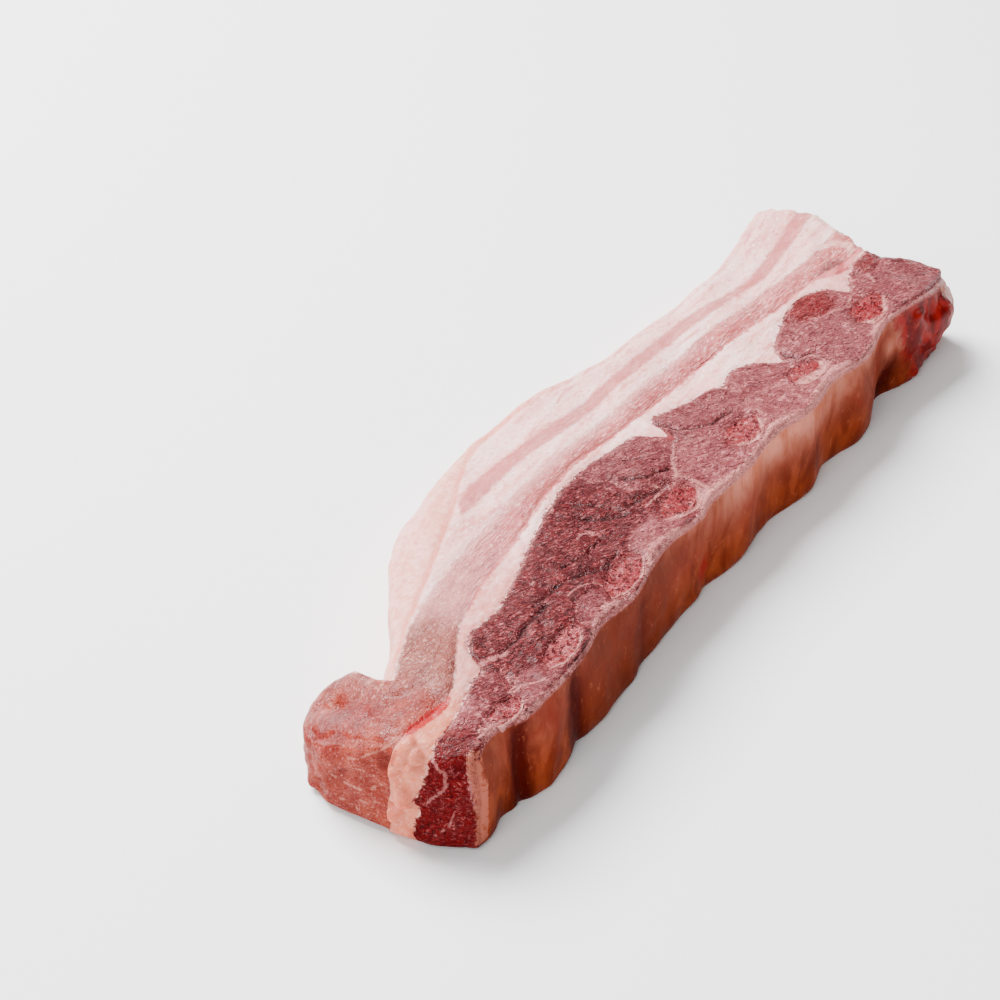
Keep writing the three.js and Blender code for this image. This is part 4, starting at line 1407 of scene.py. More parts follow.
@dataclass
class RibMeat(Layer):
    """The dark meat along the rib side, with the meat between the bones and the lining over its side."""

    name: str = "rib_meat_cut"
    slot: Slot = Slot.DARK_MEAT
    nodes: tuple[str, ...] = ("rib_meat",)
    columns: int = 62
    edge_columns: int = 8
    pocket: float = 2.5
    lobes: tuple[Lobe, ...] = (
        Lobe(-6.5, 5.0, 5.5, 8, 0, 0.05, 0.85),
        Lobe(0.5, 8.2, 5, 3.4, 10, 0.3, 0.55),
        Lobe(7.5, 10, 6, 4, 10, 0.8, 0.15),
        Lobe(18.2, 11.2, 6, 4.8, 0, 0.3, 0.1),
        Lobe(25, 3.2, 6, 4.5, 0, 0.55, 0.1),
        Lobe(66, 17, 45, 12, 7, 0.1, 0.06),
        Lobe(107, 23, 13, 10, -8, 0.5, 0.04),
        Lobe(54, 5, 7, 5.5, 0, 0.5, 0.12),
        Lobe(84, 6.5, 9, 5.5, 0, 0.75, 0.06),
        Lobe(116, 9, 9.5, 9, 0, 0.74, 0.1),
        Lobe(136, 20, 13, 8, -18, 0.62, 0.06),
        Lobe(150, 5, 10, 8, 0, 0.95, 0.08),
        Lobe(157, 16, 9, 6, -8, 0.72, 0.12),
        Lobe(184.5, 6.0, 11.5, 11.5, -4, 0.68, 0.0),
        Lobe(193.5, 16.8, 8.5, 4.6, 0, 0.4, 0.9),
        Lobe(204, 12.4, 5, 3.4, -20, 1.1, 0.25),
        Lobe(219, 5, 11, 8, 6, 0.62, 0.08),
        Lobe(225, 13.6, 6, 3.2, 14, 0.3, 0.6),
    )
    threads: tuple[Trace, ...] = (
        Trace(((120.5, 19.5), (117, 17.6), (113, 16), (108, 12)), 1.6),
        Trace(((124, 20.4), (128, 18), (131, 15)), 1.2),
        Trace(((188.6, 13.6), (193.1, 11.3), (197.6, 9.4)), 1.2),
        Trace(((200.4, 9.4), (205.6, 10.6), (209.6, 13.6)), 1.2),
        Trace(((196.5, 0.4), (194.4, -1.6), (193.6, -3.4)), 1.1),
        Trace(((22.4, 18), (24.1, 16.2), (27.5, 14.2), (29.2, 13.3)), 2.4),
        Trace(((53.1, 11.2), (57, 10.9), (60.6, 8.8), (61.4, 6.4)), 1.0),
        Trace(((18.4, 6.7), (22.1, 5.6), (25.3, 2.8), (27.1, 1.5)), 1.2),
        Trace(((108.3, 11.6), (108.8, 7.4), (108, 3)), 1.4),
        Trace(((93, 12.6), (98, 12.2), (101, 12)), 1.3),
        Trace(((172.2, 1.0), (173.4, 5.5), (171.5, 9.4)), 1.1),
        Trace(((214.8, 8.4), (216, 9.6), (217.6, 11.2)), 1.8),
        Trace(((54.0, 20.8), (54.5, 20.9)), 1.7),
        Trace(((74.3, 20.4), (76.9, 20.9), (79.2, 18.8), (77.9, 18.4)), 1.2),
        Trace(((142, 6), (143, 8)), 1.3),
        Trace(((5.6, 5.5), (6.4, 3.2), (8, 1.4)), 1.4),
    )
    end_threads: tuple[Trace, ...] = (
        Trace(((11.8, 25.8), (9.9, 23.4), (7.2, 22.0), (6.8, 19.2), (8.4, 16.8), (11.4, 13.6)), 1.4),
        Trace(((3.6, 23.2), (2.6, 19.8), (2.2, 16.0), (1.0, 10.9)), 1.2),
        Trace(((5.4, 12.2), (6.4, 8.0), (9.2, 5.2)), 0.9),
    )
    fringe: Trace = Trace(((3.9, 25.6), (3.6, 24.2), (2.7, 22), (1.3, 16.9), (1.0, 10.3), (1.2, 3)), 2.0)
    splits: tuple[Trace, ...] = (
        Trace(((81.6, 25), (83.2, 20.6), (86, 18), (88.6, 15.8)), 2.2),
        Trace(((91.5, 16.4), (97.8, 14.5), (102.4, 12.8)), 1.9),
        Trace(((46.5, 16), (53.6, 15.5), (58.2, 14.8), (63.6, 12.4), (68.4, 9.4)), 1.5),
        Trace(((29.5, 14.5), (35.1, 13.9), (42.5, 14.1), (48, 13.8)), 1.5),
        Trace(((74.2, 10.2), (70, 9.8), (66, 8.4)), 1.2),
        Trace(((125.2, 26), (125.8, 21), (128.6, 17.6), (133, 14.6), (139.6, 13.2)), 1.3),
        Trace(((171.6, 14.6), (171, 10), (175.4, 7)), 1.3),
        Trace(((100.5, 22.4), (104, 17.8), (109.8, 15.2)), 0.9),
        Trace(((85, 28), (88, 23), (89, 19.5)), 0.8),
        Trace(((106.8, 26), (109.4, 22.8)), 0.8),
        Trace(((62, 17.8), (70, 16), (78, 16.2)), 0.7),
        Trace(((2.5, 4.6), (6, 6.8)), 0.8),
    )
    rim: SmoothLine = SmoothLine((
        (-9, 1.4), (0, 2.6), (6, 2.2), (14, 0.6), (21, 1.4), (30, 0.8), (40, 0.4), (49, 2.2), (56, 2.4), (62, 0.8),
        (72, 1.2), (78, 3.2), (86, 1.8), (97, 0.9), (107, 3), (113, 2.2), (122, 1.4), (132, 1.8), (140, 2.6),
        (150, 1.2), (161, 1.8), (170, 3), (178, 1.0), (188, 1.2), (194, 2.4), (203, 0.7), (212, 0.4), (240, 0.2),
    ))

    def low(self, x: Array, z: Array) -> Array:
        """The lined rib side."""
        return PLAN.rib_side(x)

    def high(self, x: Array, z: Array) -> Array:
        """The border with the fat seam."""
        return FORM.meat_border(x, z)

    def across(self, low: Array, high: Array, column: Array) -> Array:
        """Spreads the columns, close together in the rounding of the rib side."""
        first = FORM.rib_side_round * column / self.edge_columns
        rest = (column - self.edge_columns) / (self.columns - self.edge_columns)
        return low + np.where(rest < 0, first, FORM.rib_side_round + (high - low - FORM.rib_side_round) * rest)

    def lobe_tones(self, x: Array, y: Array) -> tuple[Array, Array, Array]:
        """Which muscle a place is in.

        Args:
            x: Places along the strip.
            y: Places across it.

        Returns:
            How pale it is, how red it is, and how far it is from the border between two muscles.
        """
        points = np.stack([x, y, np.zeros_like(x)], 1)
        stray = 0.12 * self.lumps.at(points, 5.0)
        reach = np.stack([lobe.reach(x, y) + stray * (i % 3 - 1) for i, lobe in enumerate(self.lobes)])
        weight = np.exp(-7.0 * reach)
        weight /= weight.sum(0)
        pale = (weight * np.array([lobe.pale for lobe in self.lobes])[:, None]).sum(0)
        red = (weight * np.array([lobe.red for lobe in self.lobes])[:, None]).sum(0)
        ordered = np.sort(reach, axis=0)
        return pale, red, ordered[1] - ordered[0]

    def relief(self, x: Array, y: Array, z: Array) -> Array:
        """Muscles that swell between their borders, splits, fibre bundles and pockets for the bones."""
        points = np.stack([x, y, z], 1)
        _, off = self.off_border(x, y, z)
        fade = share(off, 0.0, 0.9)
        _, _, border = self.lobe_tones(x, y)
        swell = 0.45 * (1 - np.exp(-off / 2.2)) + 0.5 * share(border, 0.0, 0.35) - 0.4
        coarse = 0.26 * self.lumps.at(points, 4.0) + 0.13 * self.lumps.at(points + 11, 2.2)
        turn = math.radians(-38)
        fibre = np.stack([
            (x * math.cos(turn) + y * math.sin(turn)) / 2.0, y * math.cos(turn) - x * math.sin(turn), z,
        ], 1)
        bundles = 0.2 * self.lumps.at(fibre, 1.5)
        cut = share(np.maximum(y - PLAN.rib_side(x), 0), 0.2, 1.5)
        top = (z > FORM.height / 2) | (z < 1)
        split = np.max([trace.inside(x, y) for trace in self.splits], axis=0)
        carved = -0.8 * share(split, -0.6, 1.0) * top
        pocket = np.min([rib.reach(x, y) for rib in RIBS], axis=0)
        sunk = -self.pocket * (1 - share(pocket, 0.8, 0.96)) * ((z < 1) | (z > FORM.height - 1))
        level = share(pocket, 1.0, 1.35)
        return ((swell + coarse + bundles) * cut + carved) * fade * level + sunk

    def paint(self, base: Array, placed: Array) -> dict[str, Array]:
        """Tones of the muscles, fat threads, splits and the lining, with painted shade in the lining's grooves, hollow
        and lower part.
        """
        x, y, z = base.T
        px, py, pz = placed.T
        pale, red, border = self.lobe_tones(px, py)
        near_bone = np.min([rib.reach(px, py) for rib in RIBS], axis=0)
        off = self.high(x, z) - y
        side = PLAN.rib_side(x)
        on_side = y - side < 0.05
        rim = np.where(on_side & (z < FORM.height - 1.5), 0.4, self.rim(x) - (y - side))
        ring = 0.5 - np.abs(near_bone - 1.06) * 7.0
        bony = np.where(py < np.interp(px, [r.x for r in RIBS[::-1]], [r.y for r in RIBS[::-1]]), ring, ring - 0.5)
        face = px < -1.5 + 0.1 * pz
        drawn = np.max([trace.close(px, py) for trace in self.threads], axis=0)
        on_end = np.max([trace.close(py, pz) for trace in self.end_threads], axis=0)
        skirt = (0.65 + 0.2 * share(x, 80, 100)) * share(rim, -1.0, 0.8)
        veil = np.maximum.reduce([skirt, 0.6 * share(bony, -0.3, 0.5), 0.45 * (1 - share(border, 0.02, 0.09))])
        veil = np.maximum(veil, 0.5 * share(off, 1.6, 0.2))
        lined = share(FORM.height - z, 0.6, 2.0) * share(side + 1.2 - y, 0.0, 0.9)
        # Painted shade in the grooves of the side, low on it and in the hollow near the far end.
        groove_shade = sum(
            deep * np.exp(-(((x - at - 0.12 * (14 - z)) / wide) ** 2)) * (1 - share(z, 19, 26) * fade)
            for at, wide, deep, fade in (
                (11.5, 4.2, 1.2, 0.3), (35.0, 5.0, 1.0, 0.3), (67.0, 6.0, 0.5, 0.5), (21, 2, 0.25, 1), (96, 6, 0.1, 1),
            )
        )
        low_shade = 0.55 * np.exp(-(((x - 152) / 11) ** 2) - ((z - 9) / 5) ** 2)
        hollow_shade = np.exp(-(((x - 201) / 8) ** 2) - ((z - 7) / 8) ** 2)
        groove_shade = np.maximum.reduce([groove_shade, low_shade, 1.1 * hollow_shade])
        film = 0.5 * share(z, 13, 25) * share(x, 92, 130) * (1 - share(x, 168, 186))
        film = film + 0.5 * share(z, 16, 25) * np.exp(-(((x - 132) / 22) ** 2))
        film = np.maximum(film, 0.35 * share(z, 21, 26.5) * share(x, 74, 100) * (1 - share(x, 203, 212)))
        corner = share(px + 0.5 * (z - 20), 226, 232)
        film = np.maximum(film, 0.6 * corner * share(z, 10, 18))
        film = np.maximum(film, 0.5 * np.exp(-(((x - 203) / 4.5) ** 2) - ((z - 17) / 4) ** 2))
        film = np.clip(film, 0, 1) * (1 - 0.8 * share(groove_shade, 0.2, 0.8))
        raw = np.exp(-(((x - 101.5) / 3.4) ** 2) - ((z - 8) / 4.5) ** 2)
        wet = share(x + 0.4 * (z - 14), 202, 214) * (1 - 0.8 * corner * share(z, 10, 18))
        near_face = 1 - share(px, -4, 6)
        split = np.max([trace.inside(px, py) for trace in self.splits], axis=0)
        return {
            "pale": pale,
            "red": np.clip(red + 0.3 * (1 - share(np.abs(near_bone - 1.0), 0.05, 0.3)), 0, 1),
            "fatty": np.clip(-off, -3, 3),
            "thread": np.where(face, on_end, drawn),
            "fringe": self.fringe.close(py, pz) * (1 - share(x, -6.8, -4.8)),
            "veil": veil * (1 - 0.8 * near_face),
            "split": np.clip(split, 0, 1),
            "warm": np.clip(0.6 * near_face + 0.15, 0, 1),
            "lined": lined,
            "groove_shade": groove_shade,
            "film": film,
            "raw": raw,
            # Painted shade over stretches of the lined side, low down towards the far end.
            "side_shade": share(x, 33, 42) * (1 - share(x, 76, 90)) + 0.5 * share(x, 166, 184) * (1 - share(z, 19, 24)),
            "wet": wet,
            "face": near_face,
            # Painted shade towards the bottom of the lined side.
            "depth": 1 - share(z, 5, 20),
        }

    def finish(self) -> Finish:
        """Meat with its lining."""
        return MeatFinish()


@dataclass
class FatSeam(Layer):
    """The seam of fat that runs in between the muscles."""

    name: str = "fat_seam_cut"
    slot: Slot = Slot.FAT
    nodes: tuple[str, ...] = ("fat_seam",)
    columns: int = 20
    beads: tuple[tuple[float, float, float, float], ...] = (
        (-7.3, 19.4, 23.2, 1.7), (-7.6, 16.9, 22.4, 1.5), (-6.2, 16.4, 24.8, 1.8), (-6.4, 14.2, 24.0, 1.5),
        (-7.6, 14.6, 21.6, 1.3), (-7.8, 18.2, 19.8, 1.4), (-8.2, 15.6, 13.4, 2.2), (-8.2, 18.4, 8.6, 2.0),
    )

    def low(self, x: Array, z: Array) -> Array:
        """The border with the dark meat."""
        return FORM.meat_border(x, z)

    def high(self, x: Array, z: Array) -> Array:
        """The border with the belly lean."""
        return PLAN.lean_low(x) + FORM.boundary_wander(x, z, 2)

    def relief(self, x: Array, y: Array, z: Array) -> Array:
        """Low soft lumps, stronger in the fat at the flapped end."""
        points = np.stack([x, y, z], 1)
        near, far = self.off_border(x, y, z)
        fade = share(near, 0, 0.8) * share(far, 0, 0.8)
        knots = 1 - share(x, -6, 6)
        soft = 0.16 * self.lumps.at(points, 3.0) + 0.08 * self.lumps.at(points + 5, 1.6)
        bubbles = np.maximum(self.lumps.at(points + 21, 3.4), 0) * 0.6 * knots
        px, py, pz = FORM.place(x, y, z, np.zeros_like(x)).T
        for bx, by, bz, size in self.beads:
            off = np.hypot(np.hypot(0.6 * (px - bx), py - by), pz - bz)
            bubbles = np.maximum(bubbles, 1.1 * size * np.sqrt(np.clip(1 - (off / (1.15 * size)) ** 2, 0, 1)))
        return (soft + bubbles) * fade

    def paint(self, base: Array, placed: Array) -> dict[str, Array]:
        """Warmth near the flapped end and the smear of blood."""
        x, y, z = base.T
        px, py, pz = placed.T
        near, far = self.off_border(x, y, z)
        wedge = np.exp(-(((px - 122) / 4) ** 2)) * share(py, 29, 23)
        tender = share(px, 6, 26) * (1 - share(px, 48, 78)) + 0.4 * np.exp(-(((px - 100) / 14) ** 2))
        tender = tender + 0.7 * share(px, 180, 198) + 0.6 * np.exp(-(((px - 120) / 6) ** 2)) * share(py, 31, 26)
        return {
            "warm": np.clip(1 - share(px, 2, 34), 0, 1),
            "meaty": np.clip(near - 2.2 * wedge, -3, 3),
            "leanward": np.clip(np.maximum(far - lean_creep(px), 0.8 - near), -3, 3),
            "tender": np.clip(tender, 0, 1),
            "blood": smear(px, py, z),
        }

    def finish(self) -> Finish:
        """Soft fat."""
        return SeamFinish()


@dataclass
class BellyLean(Layer):
    """The long pale band of lean, ending in the flap that curls off the near end."""

    name: str = "belly_lean_cut"
    slot: Slot = Slot.PALE_LEAN
    nodes: tuple[str, ...] = ("belly_lean",)
    columns: int = 44
    threads: tuple[Trace, ...] = (
        Trace(((9.6, 36.1), (11.1, 34.9), (10.1, 32.2), (8, 32.3)), 2.0),
        Trace(((5.7, 43.4), (3.6, 39.8), (3.5, 37.6)), 1.3),
    )
    end_threads: tuple[Trace, ...] = (
        Trace(((32.5, 14.3), (29.6, 14.6), (25.9, 15.6)), 1.1),
        Trace(((36, 10), (30, 9.4), (25, 11.4), (21.6, 14)), 1.3),
        Trace(((40, 6), (33, 4.6), (27, 6.4), (22, 9)), 1.2),
    )

    def low(self, x: Array, z: Array) -> Array:
        """The border with the fat seam."""
        return PLAN.lean_low(x) + FORM.boundary_wander(x, z, 2)

    def high(self, x: Array, z: Array) -> Array:
        """The flap's free edge, then the border with the outer fat."""
        return PLAN.lean_top(x) + FORM.boundary_wander(x, z, 3) * PLAN.past_notch(x)

    def relief(self, x: Array, y: Array, z: Array) -> Array:
        """Fine lengthwise fibres, lumps on the flap."""
        points = np.stack([x, y, z], 1)
        near, far = self.off_border(x, y, z)
        fade = share(near, 0, 0.8) * np.where(x < PLAN.notch, 1.0, share(far, 0, 0.8))
        lengthwise = 0.12 * self.lumps.at(points, (7.0, 1.5, 3.0))
        on_flap = 1 - share(x, 8, 24)
        lumpy = on_flap * (0.55 * self.lumps.at(points, 7.0) + 0.3 * self.lumps.at(points + 9, 3.2))
        dent = -2.4 * np.exp(-(((x - 4.8) / 1.9) ** 2) - ((y - 41.2) / 3.2) ** 2) * (z > 14)
        under = share(self.fold(y) - z, 0.2, 2.2) * (1 - share(x, -8.8, -6))
        tuck = -1.6 * under + 0.7 * self.lumps.at(points + 33, (6.0, 9.0, 2.6)) * under
        return (lengthwise + lumpy) * fade + 0.2 * share(near, 0, 2.5) * fade + dent + tuck * fade

    def fold(self, y: Array) -> Array:
        """Height of the flap's lower lip above the end face."""
        return np.interp(y, (18.8, 22.1, 27.2, 33.7, 41.3, 48), (26, 23.2, 19.7, 16.7, 11.1, 7))

    def paint(self, base: Array, placed: Array) -> dict[str, Array]:
        """Tones along the band, its soft edges and the marks on it."""
        x, y, z = base.T
        px, py, pz = placed.T
        near, far = self.off_border(x, y, z)
        free = PLAN.past_notch(x)
        flap = 1 - share(px, 4, 15)
        lip = self.fold(py) - pz
        front = 1 - share(px, -4, 2)
        under = share(lip, -0.4, 0.4) * front
        lines = np.max([trace.close(py, pz) for trace in self.end_threads], axis=0) * front
        lines = np.maximum(lines, np.exp(-((lip / 0.7) ** 2)) * front * share(py, 40, 24))
        ridge = np.max([trace.close(px, py) for trace in self.threads], axis=0)
        centre = np.exp(-(((px - 0) / 7) ** 2) - ((py - 33) / 9) ** 2)
        # Painted shade in the recess under the flap's fold on the end face.
        recess_shade = 1.8 - np.hypot((py - 21.6) / 1.0, (pz - 20.2) / 1.6)
        brown = 0.5 - np.abs(near - 0.3) - 1.2 * (1 - share(px, 60, 78)) - 1.2 * share(px, 120, 140)
        dusk = 2.2 - np.hypot((px - 216) / 3.2, (py - 20.6) / 1.2)
        notch_edge = 1.0 - np.abs(px - 13.2) * 0.8 - share(free, 0.4, 1.0) * 3 - 4 * share(py, 31.5, 29.5)
        tip = np.hypot((px - 214.5) / 15.5, (py - 23.8) / 6.6)
        tip_rim = (0.9 - np.abs(tip - 1) * 9) * (px > 214) - 3.0 * (px <= 214)
        upper = 0.5 - np.where(free > 0.5, far, 9.0)
        pale_edge = np.maximum(np.where(px < 9, -3.0, np.maximum(upper, -near - lean_creep(px))), tip_rim)
        return {
            "near": 1 - share(px, 26, 52),
            "far": share(px, 90, 190),
            "flap": np.clip(flap * (1 - 0.3 * under), 0, 1),
            "rim": np.clip(flap * (1 - 1.15 * centre), 0, 1) * 0.9,
            "fatty": np.clip(np.maximum(pale_edge, notch_edge - 0.6), -3, 3),
            "thread": np.maximum(lines, ridge * (pz > 14)),
            "recess_shade": np.where(px < -2, recess_shade, -3.0),
            "warm": np.clip(0.7 * flap + 0.5 * (1 - share(px, 10, 40)) + 0.4 * share(px, 190, 220), 0, 1),
            "brown": brown,
            "blush": np.maximum(
                share(far, 4.6, 0.2) * free * share(px, 20, 40) * (1 - 0.6 * share(px, 140, 170)),
                0.45 * share(px, 26, 38) * (1 - share(px, 52, 76)),
            ),
            "dusk": dusk,
            "blood": smear(px, py, z),
        }

    def finish(self) -> Finish:
        """Pale lean."""
        return LeanFinish()


@dataclass
class OuterFat(Layer):
    """The thick outer fat with a thin streak of lean, and the rind that it ends in."""

    name: str = "outer_fat_cut"
    slot: Slot = Slot.FAT
    nodes: tuple[str, ...] = ("outer_fat", "outer_lean")
    columns: int = 46
    start: float = 14.5

    def low(self, x: Array, z: Array) -> Array:
        """The border with the belly lean."""
        return PLAN.lean_high(x) + FORM.boundary_wander(x, z, 3)

    def high(self, x: Array, z: Array) -> Array:
        """The rind."""
        return PLAN.rind_side(x)

    def relief(self, x: Array, y: Array, z: Array) -> Array:
        """A faint swell of the streak and soft lengthwise waves."""
        points = np.stack([x, y, z], 1)
        near, _ = self.off_border(x, y, z)
        fade = share(near, 0, 0.8)
        waves = 0.16 * self.lumps.at(points, (9.0, 3.0, 5.0)) + 0.06 * self.lumps.at(points + 5, 1.8)
        line = np.abs(y - PLAN.rind_line(x))
        step = -0.25 * np.exp(-((line / 0.9) ** 2)) * (z > 14)
        return (waves + step) * fade

    def paint(self, base: Array, placed: Array) -> dict[str, Array]:
        """The streak, the rind's line and the rind."""
        x, y, z = base.T
        px, py, pz = placed.T
        inside = np.minimum(y - PLAN.streak_low(x), PLAN.streak_high(x) - y)
        inside = inside - 2.5 * (1 - share(x, 60, 76)) + 0.5 * share(x, 160, 184)
        past = y - PLAN.rind_line(x)
        far_half = share(x, 105, 130)
        return {
            "streak": np.clip(inside, -4, 4),
            "skin": np.clip(np.where(z > 1, past - 0.6 - 1.1 * far_half, past - 2.0), -4, 4),
            "edge": np.clip(0.6 - 0.8 * far_half - np.abs(past - 0.3), -4, 4) * (z > 10) - 2.0 * (z <= 10),
            "warm": np.clip(1 - share(px, 14, 40), 0, 1) * 0.4 + 0.15 * share(past, 0, 2),
        }

    def finish(self) -> Finish:
        """Firm fat and rind."""
        return OuterFinish()


@dataclass
class RibBone:
    """A sawn rib bone from cut face to cut face, in the pocket that the meat leaves for it."""

    number: int
    rib: Rib
    shell: float = 0.0
    flush: float = 0.3
    half_white: tuple[float, float] = (0.0, 0.0)
    sectors: int = 96
    rings: int = 20
    heights: int = 14
    lumps: Lumps = field(default_factory=lambda: Lumps(23))

    def face_height(self, x: Array, y: Array, top: bool, meat: RibMeat) -> Array:
        """Height of the meat's surface round the bone.

        Args:
            x: Places along the strip.
            y: Places across it.
            top: Whether the upper face is meant.
            meat: The layer that the bone sits in.

        Returns:
            The height at each place.
        """
        z = np.full_like(x, FORM.height if top else 0.0)
        relief = meat.shared_relief(x, y, z)
        return (z - FORM.top_drop(x, y) + relief) if top else z - 0.25 * np.minimum(relief, 0.4)

    def build(self, meat: RibMeat, material: bpy.types.Material) -> bpy.types.Object:
        """Builds, dresses and places the bone.

        Args:
            meat: The layer that the bone sits in.
            material: The bone finish.

        Returns:
            The finished object.
        """
        angle = np.linspace(0, 2 * np.pi, self.sectors, endpoint=False)
        shares = np.concatenate([
            np.linspace(0, 1, self.rings + 1)[1:], np.ones(self.heights), np.linspace(1, 0, self.rings + 1)[1:-1],
        ])
        drops = np.concatenate([np.zeros(self.rings), np.linspace(0, 1, self.heights + 2)[1:-1], [1.0], np.ones(self.rings - 1)])
        drops = drops[: len(shares)]
        s, a = np.repeat(shares, self.sectors), np.tile(angle, len(shares))
        d = np.repeat(drops, self.sectors)
        s, a, d = np.append(s, [0, 0]), np.append(a, [0, 0]), np.append(d, [0, 1])
        stray = self.rib.uneven(a) * (1 - 0.3 * share(d, 0.03, 0.2) * (1 - share(d, 0.8, 0.97)))
        u = 0.5 * self.rib.width * s * stray * np.cos(a)
        v = 0.5 * self.rib.depth * s * stray * np.sin(a)
        x = self.rib.x + u * math.cos(self.rib.turn) - v * math.sin(self.rib.turn)
        y = self.rib.y + u * math.sin(self.rib.turn) + v * math.cos(self.rib.turn)
        flat = np.stack([x, y, np.zeros_like(x)], 1)
        pits = 0.3 * self.lumps.at(flat, 1.7) + 0.35 * self.lumps.at(flat + 9, 3.5) - 0.15
        own = pits * share(1 - s, 0, 0.2) + 0.08
        upper = self.face_height(x, y, True, meat) + own
        lower = self.face_height(x, y, False, meat) - own
        z = upper + (lower - upper) * d
        side = FORM.place(x, PLAN.rib_side(x), np.clip(z, 0, FORM.height), np.zeros_like(x))[:, 1]
        y = np.where(d > 0.5, np.maximum(y, side + 1.6), y)
        last = len(shares) - 1
        numbers = np.arange(len(shares) * self.sectors).reshape(len(shares), self.sectors)
        turned = np.roll(numbers, -1, axis=1)
        quads = np.stack([numbers[:-1], numbers[1:], turned[1:], turned[:-1]], -1).reshape(-1, 4)
        centre, base = len(x) - 2, len(x) - 1
        caps = [(centre, int(p), int(q)) for p, q in zip(numbers[0], turned[0])]
        caps += [(base, int(q), int(p)) for p, q in zip(numbers[last], turned[last])]
        name = f"rib_bone_{self.number}"
        mesh = bpy.data.meshes.new(name)
        places = (np.stack([x, y, z], 1) - MIDDLE) * MILLIMETRE
        mesh.from_pydata(places.tolist(), [], [tuple(q) for q in quads.tolist()] + caps)
        across = 0.25 * (self.rib.width + self.rib.depth)
        edge = np.where((d > 0) & (d < 1), 2.0, 0.55 - (1 - s) * across)
        inward = share(y, self.rib.y - 1.5, self.rib.y + 1.0)
        shell = 1.4 - (1 - s) * across - 2.2 * share(y, self.rib.y - 2.0, self.rib.y + 1.0)
        lean_over = (x - self.rib.x) * self.half_white[0] + (y - self.rib.y) * self.half_white[1]
        shell = np.maximum(shell + self.shell, lean_over - 0.4) if any(self.half_white) else shell + self.shell
        ribward = 0.7 * share((1 - s) * across, 2.2, 0.8) * share(self.rib.y - y, 0.0, 1.5)
        flush = np.clip(self.flush + ribward, 0, 1)
        for label, values in (("ring", edge * inward - 3.0 * (1 - inward)), ("white", shell), ("flush", flush)):
            layer = mesh.attributes.new(label, "FLOAT", "POINT")
            layer.data.foreach_set("value", values.astype(np.float32))
        mesh.shade_smooth()
        mesh.set_sharp_from_angle(angle=math.radians(50))
        mesh.materials.append(material)
        made = bpy.data.objects.new(name, mesh)
        bpy.context.scene.collection.objects.link(made)
        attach(made, "root")
        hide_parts(f"rib_{self.number}")
        return made


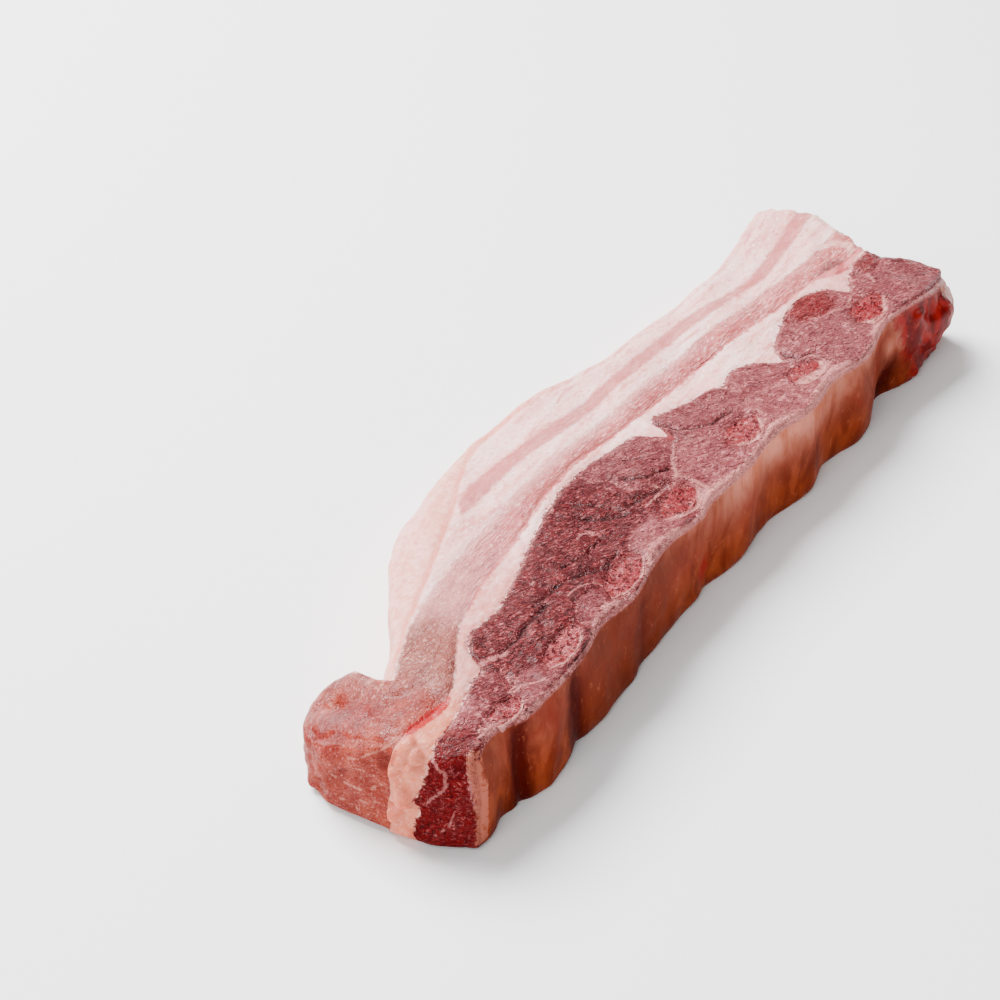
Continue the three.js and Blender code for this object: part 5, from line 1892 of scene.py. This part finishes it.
@dataclass
class Studio:
    """A pale floor, soft lamps and the camera."""

    floor_size: float = 6.0
    floor_colour: Colour = tint(250, 250, 250)
    lens: float = 95.87
    eye: tuple[float, float, float] = (-0.47712, -0.23723, 0.38235)
    right: tuple[float, float, float] = (0.50036, -0.86581, 0.00156)
    up: tuple[float, float, float] = (0.49668, 0.28851, 0.81858)
    ahead: tuple[float, float, float] = (0.70919, 0.40881, -0.57439)

    def lay_floor(self) -> bpy.types.Object:
        """Lays the floor under the strip.

        Returns:
            The floor.
        """
        half = self.floor_size / 2
        mesh = bpy.data.meshes.new("floor")
        mesh.from_pydata([(-half, -half, 0), (half, -half, 0), (half, half, 0), (-half, half, 0)], [], [(0, 1, 2, 3)])
        floor = bpy.data.objects.new("floor", mesh)
        bpy.context.scene.collection.objects.link(floor)
        material = bpy.data.materials.new("floor_finish")
        material.use_nodes = True
        bench = Bench(material.node_tree)
        shader = material.node_tree.nodes["Principled BSDF"]
        cloud = bench.noise(bench.ruler(), 400.0, 2.0).outputs[0]
        bench.feed(shader.inputs["Base Color"], bench.blend(cloud, self.floor_colour, tint(247, 247, 247)))
        shader.inputs["Roughness"].default_value = 0.8
        mesh.materials.append(material)
        return floor

    def hang_lamp(self, name: str, place: tuple[float, float, float], size: float, power: float) -> None:
        """Hangs a soft square lamp that faces the strip.

        Args:
            name: The lamp's name.
            place: Where it hangs, in metres.
            size: Its side, in metres.
            power: Its power in watts.
        """
        light = bpy.data.lights.new(name, "AREA")
        light.shape = "SQUARE"
        light.size = size
        light.energy = power
        lamp = bpy.data.objects.new(name, light)
        lamp.location = place
        lamp.rotation_mode = "QUATERNION"
        lamp.rotation_quaternion = (-Vector(place)).to_track_quat("-Z", "Y")
        bpy.context.scene.collection.objects.link(lamp)

    def light(self) -> None:
        """Lights the scene softly from above."""
        world = bpy.data.worlds.new("studio_air")
        bpy.context.scene.world = world
        world.use_nodes = True
        air = world.node_tree.nodes["Background"]
        air.inputs["Color"].default_value = (1.0, 1.0, 1.0, 1.0)
        air.inputs["Strength"].default_value = 0.42
        self.hang_lamp("key_lamp", (0.08, 0.72, 1.0), 0.8, 64.0)
        self.hang_lamp("fill_lamp", (-1.1, -0.15, 0.8), 0.8, 14.0)

    def set_camera(self) -> bpy.types.Object:
        """Sets the camera.

        Returns:
            The camera.
        """
        camera = bpy.data.objects.new("camera", bpy.data.cameras.new("camera"))
        camera.data.lens = self.lens
        camera.data.sensor_width = 36.0
        turn = Matrix([self.right, self.up, [-part for part in self.ahead]]).transposed()
        camera.matrix_world = Matrix.Translation(self.eye) @ turn.to_4x4()
        bpy.context.scene.collection.objects.link(camera)
        bpy.context.scene.camera = camera
        return camera


def report(piece: bpy.types.Object) -> None:
    """Logs a finished piece.

    Args:
        piece: The piece.
    """
    LOG.info("%s: %d faces", piece.name, len(piece.data.polygons))


def main() -> None:
    """Builds the strip layer by layer, then the studio."""
    logging.basicConfig(level=logging.INFO, format="%(name)s %(message)s")
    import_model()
    meat = RibMeat()
    for layer in (meat, FatSeam(), BellyLean(), OuterFat()):
        report(layer.build())
    bone = BoneFinish().build()
    shells = (-0.1, 0.2, 0.1, 0.2, -0.8, -0.8, -0.8)
    flushes = (0.95, 0.7, 0.55, 0.5, 0.3, 0.1, 0.1)
    for number, (rib, shell, flush) in enumerate(zip(RIBS, shells, flushes), 1):
        half_white = (-0.25, -0.75) if number == 2 else (0.0, 0.0)
        report(RibBone(number, rib, shell, flush, half_white).build(meat, bone))
    studio = Studio()
    studio.lay_floor()
    studio.light()
    studio.set_camera()


if __name__ == "__main__":
    main()
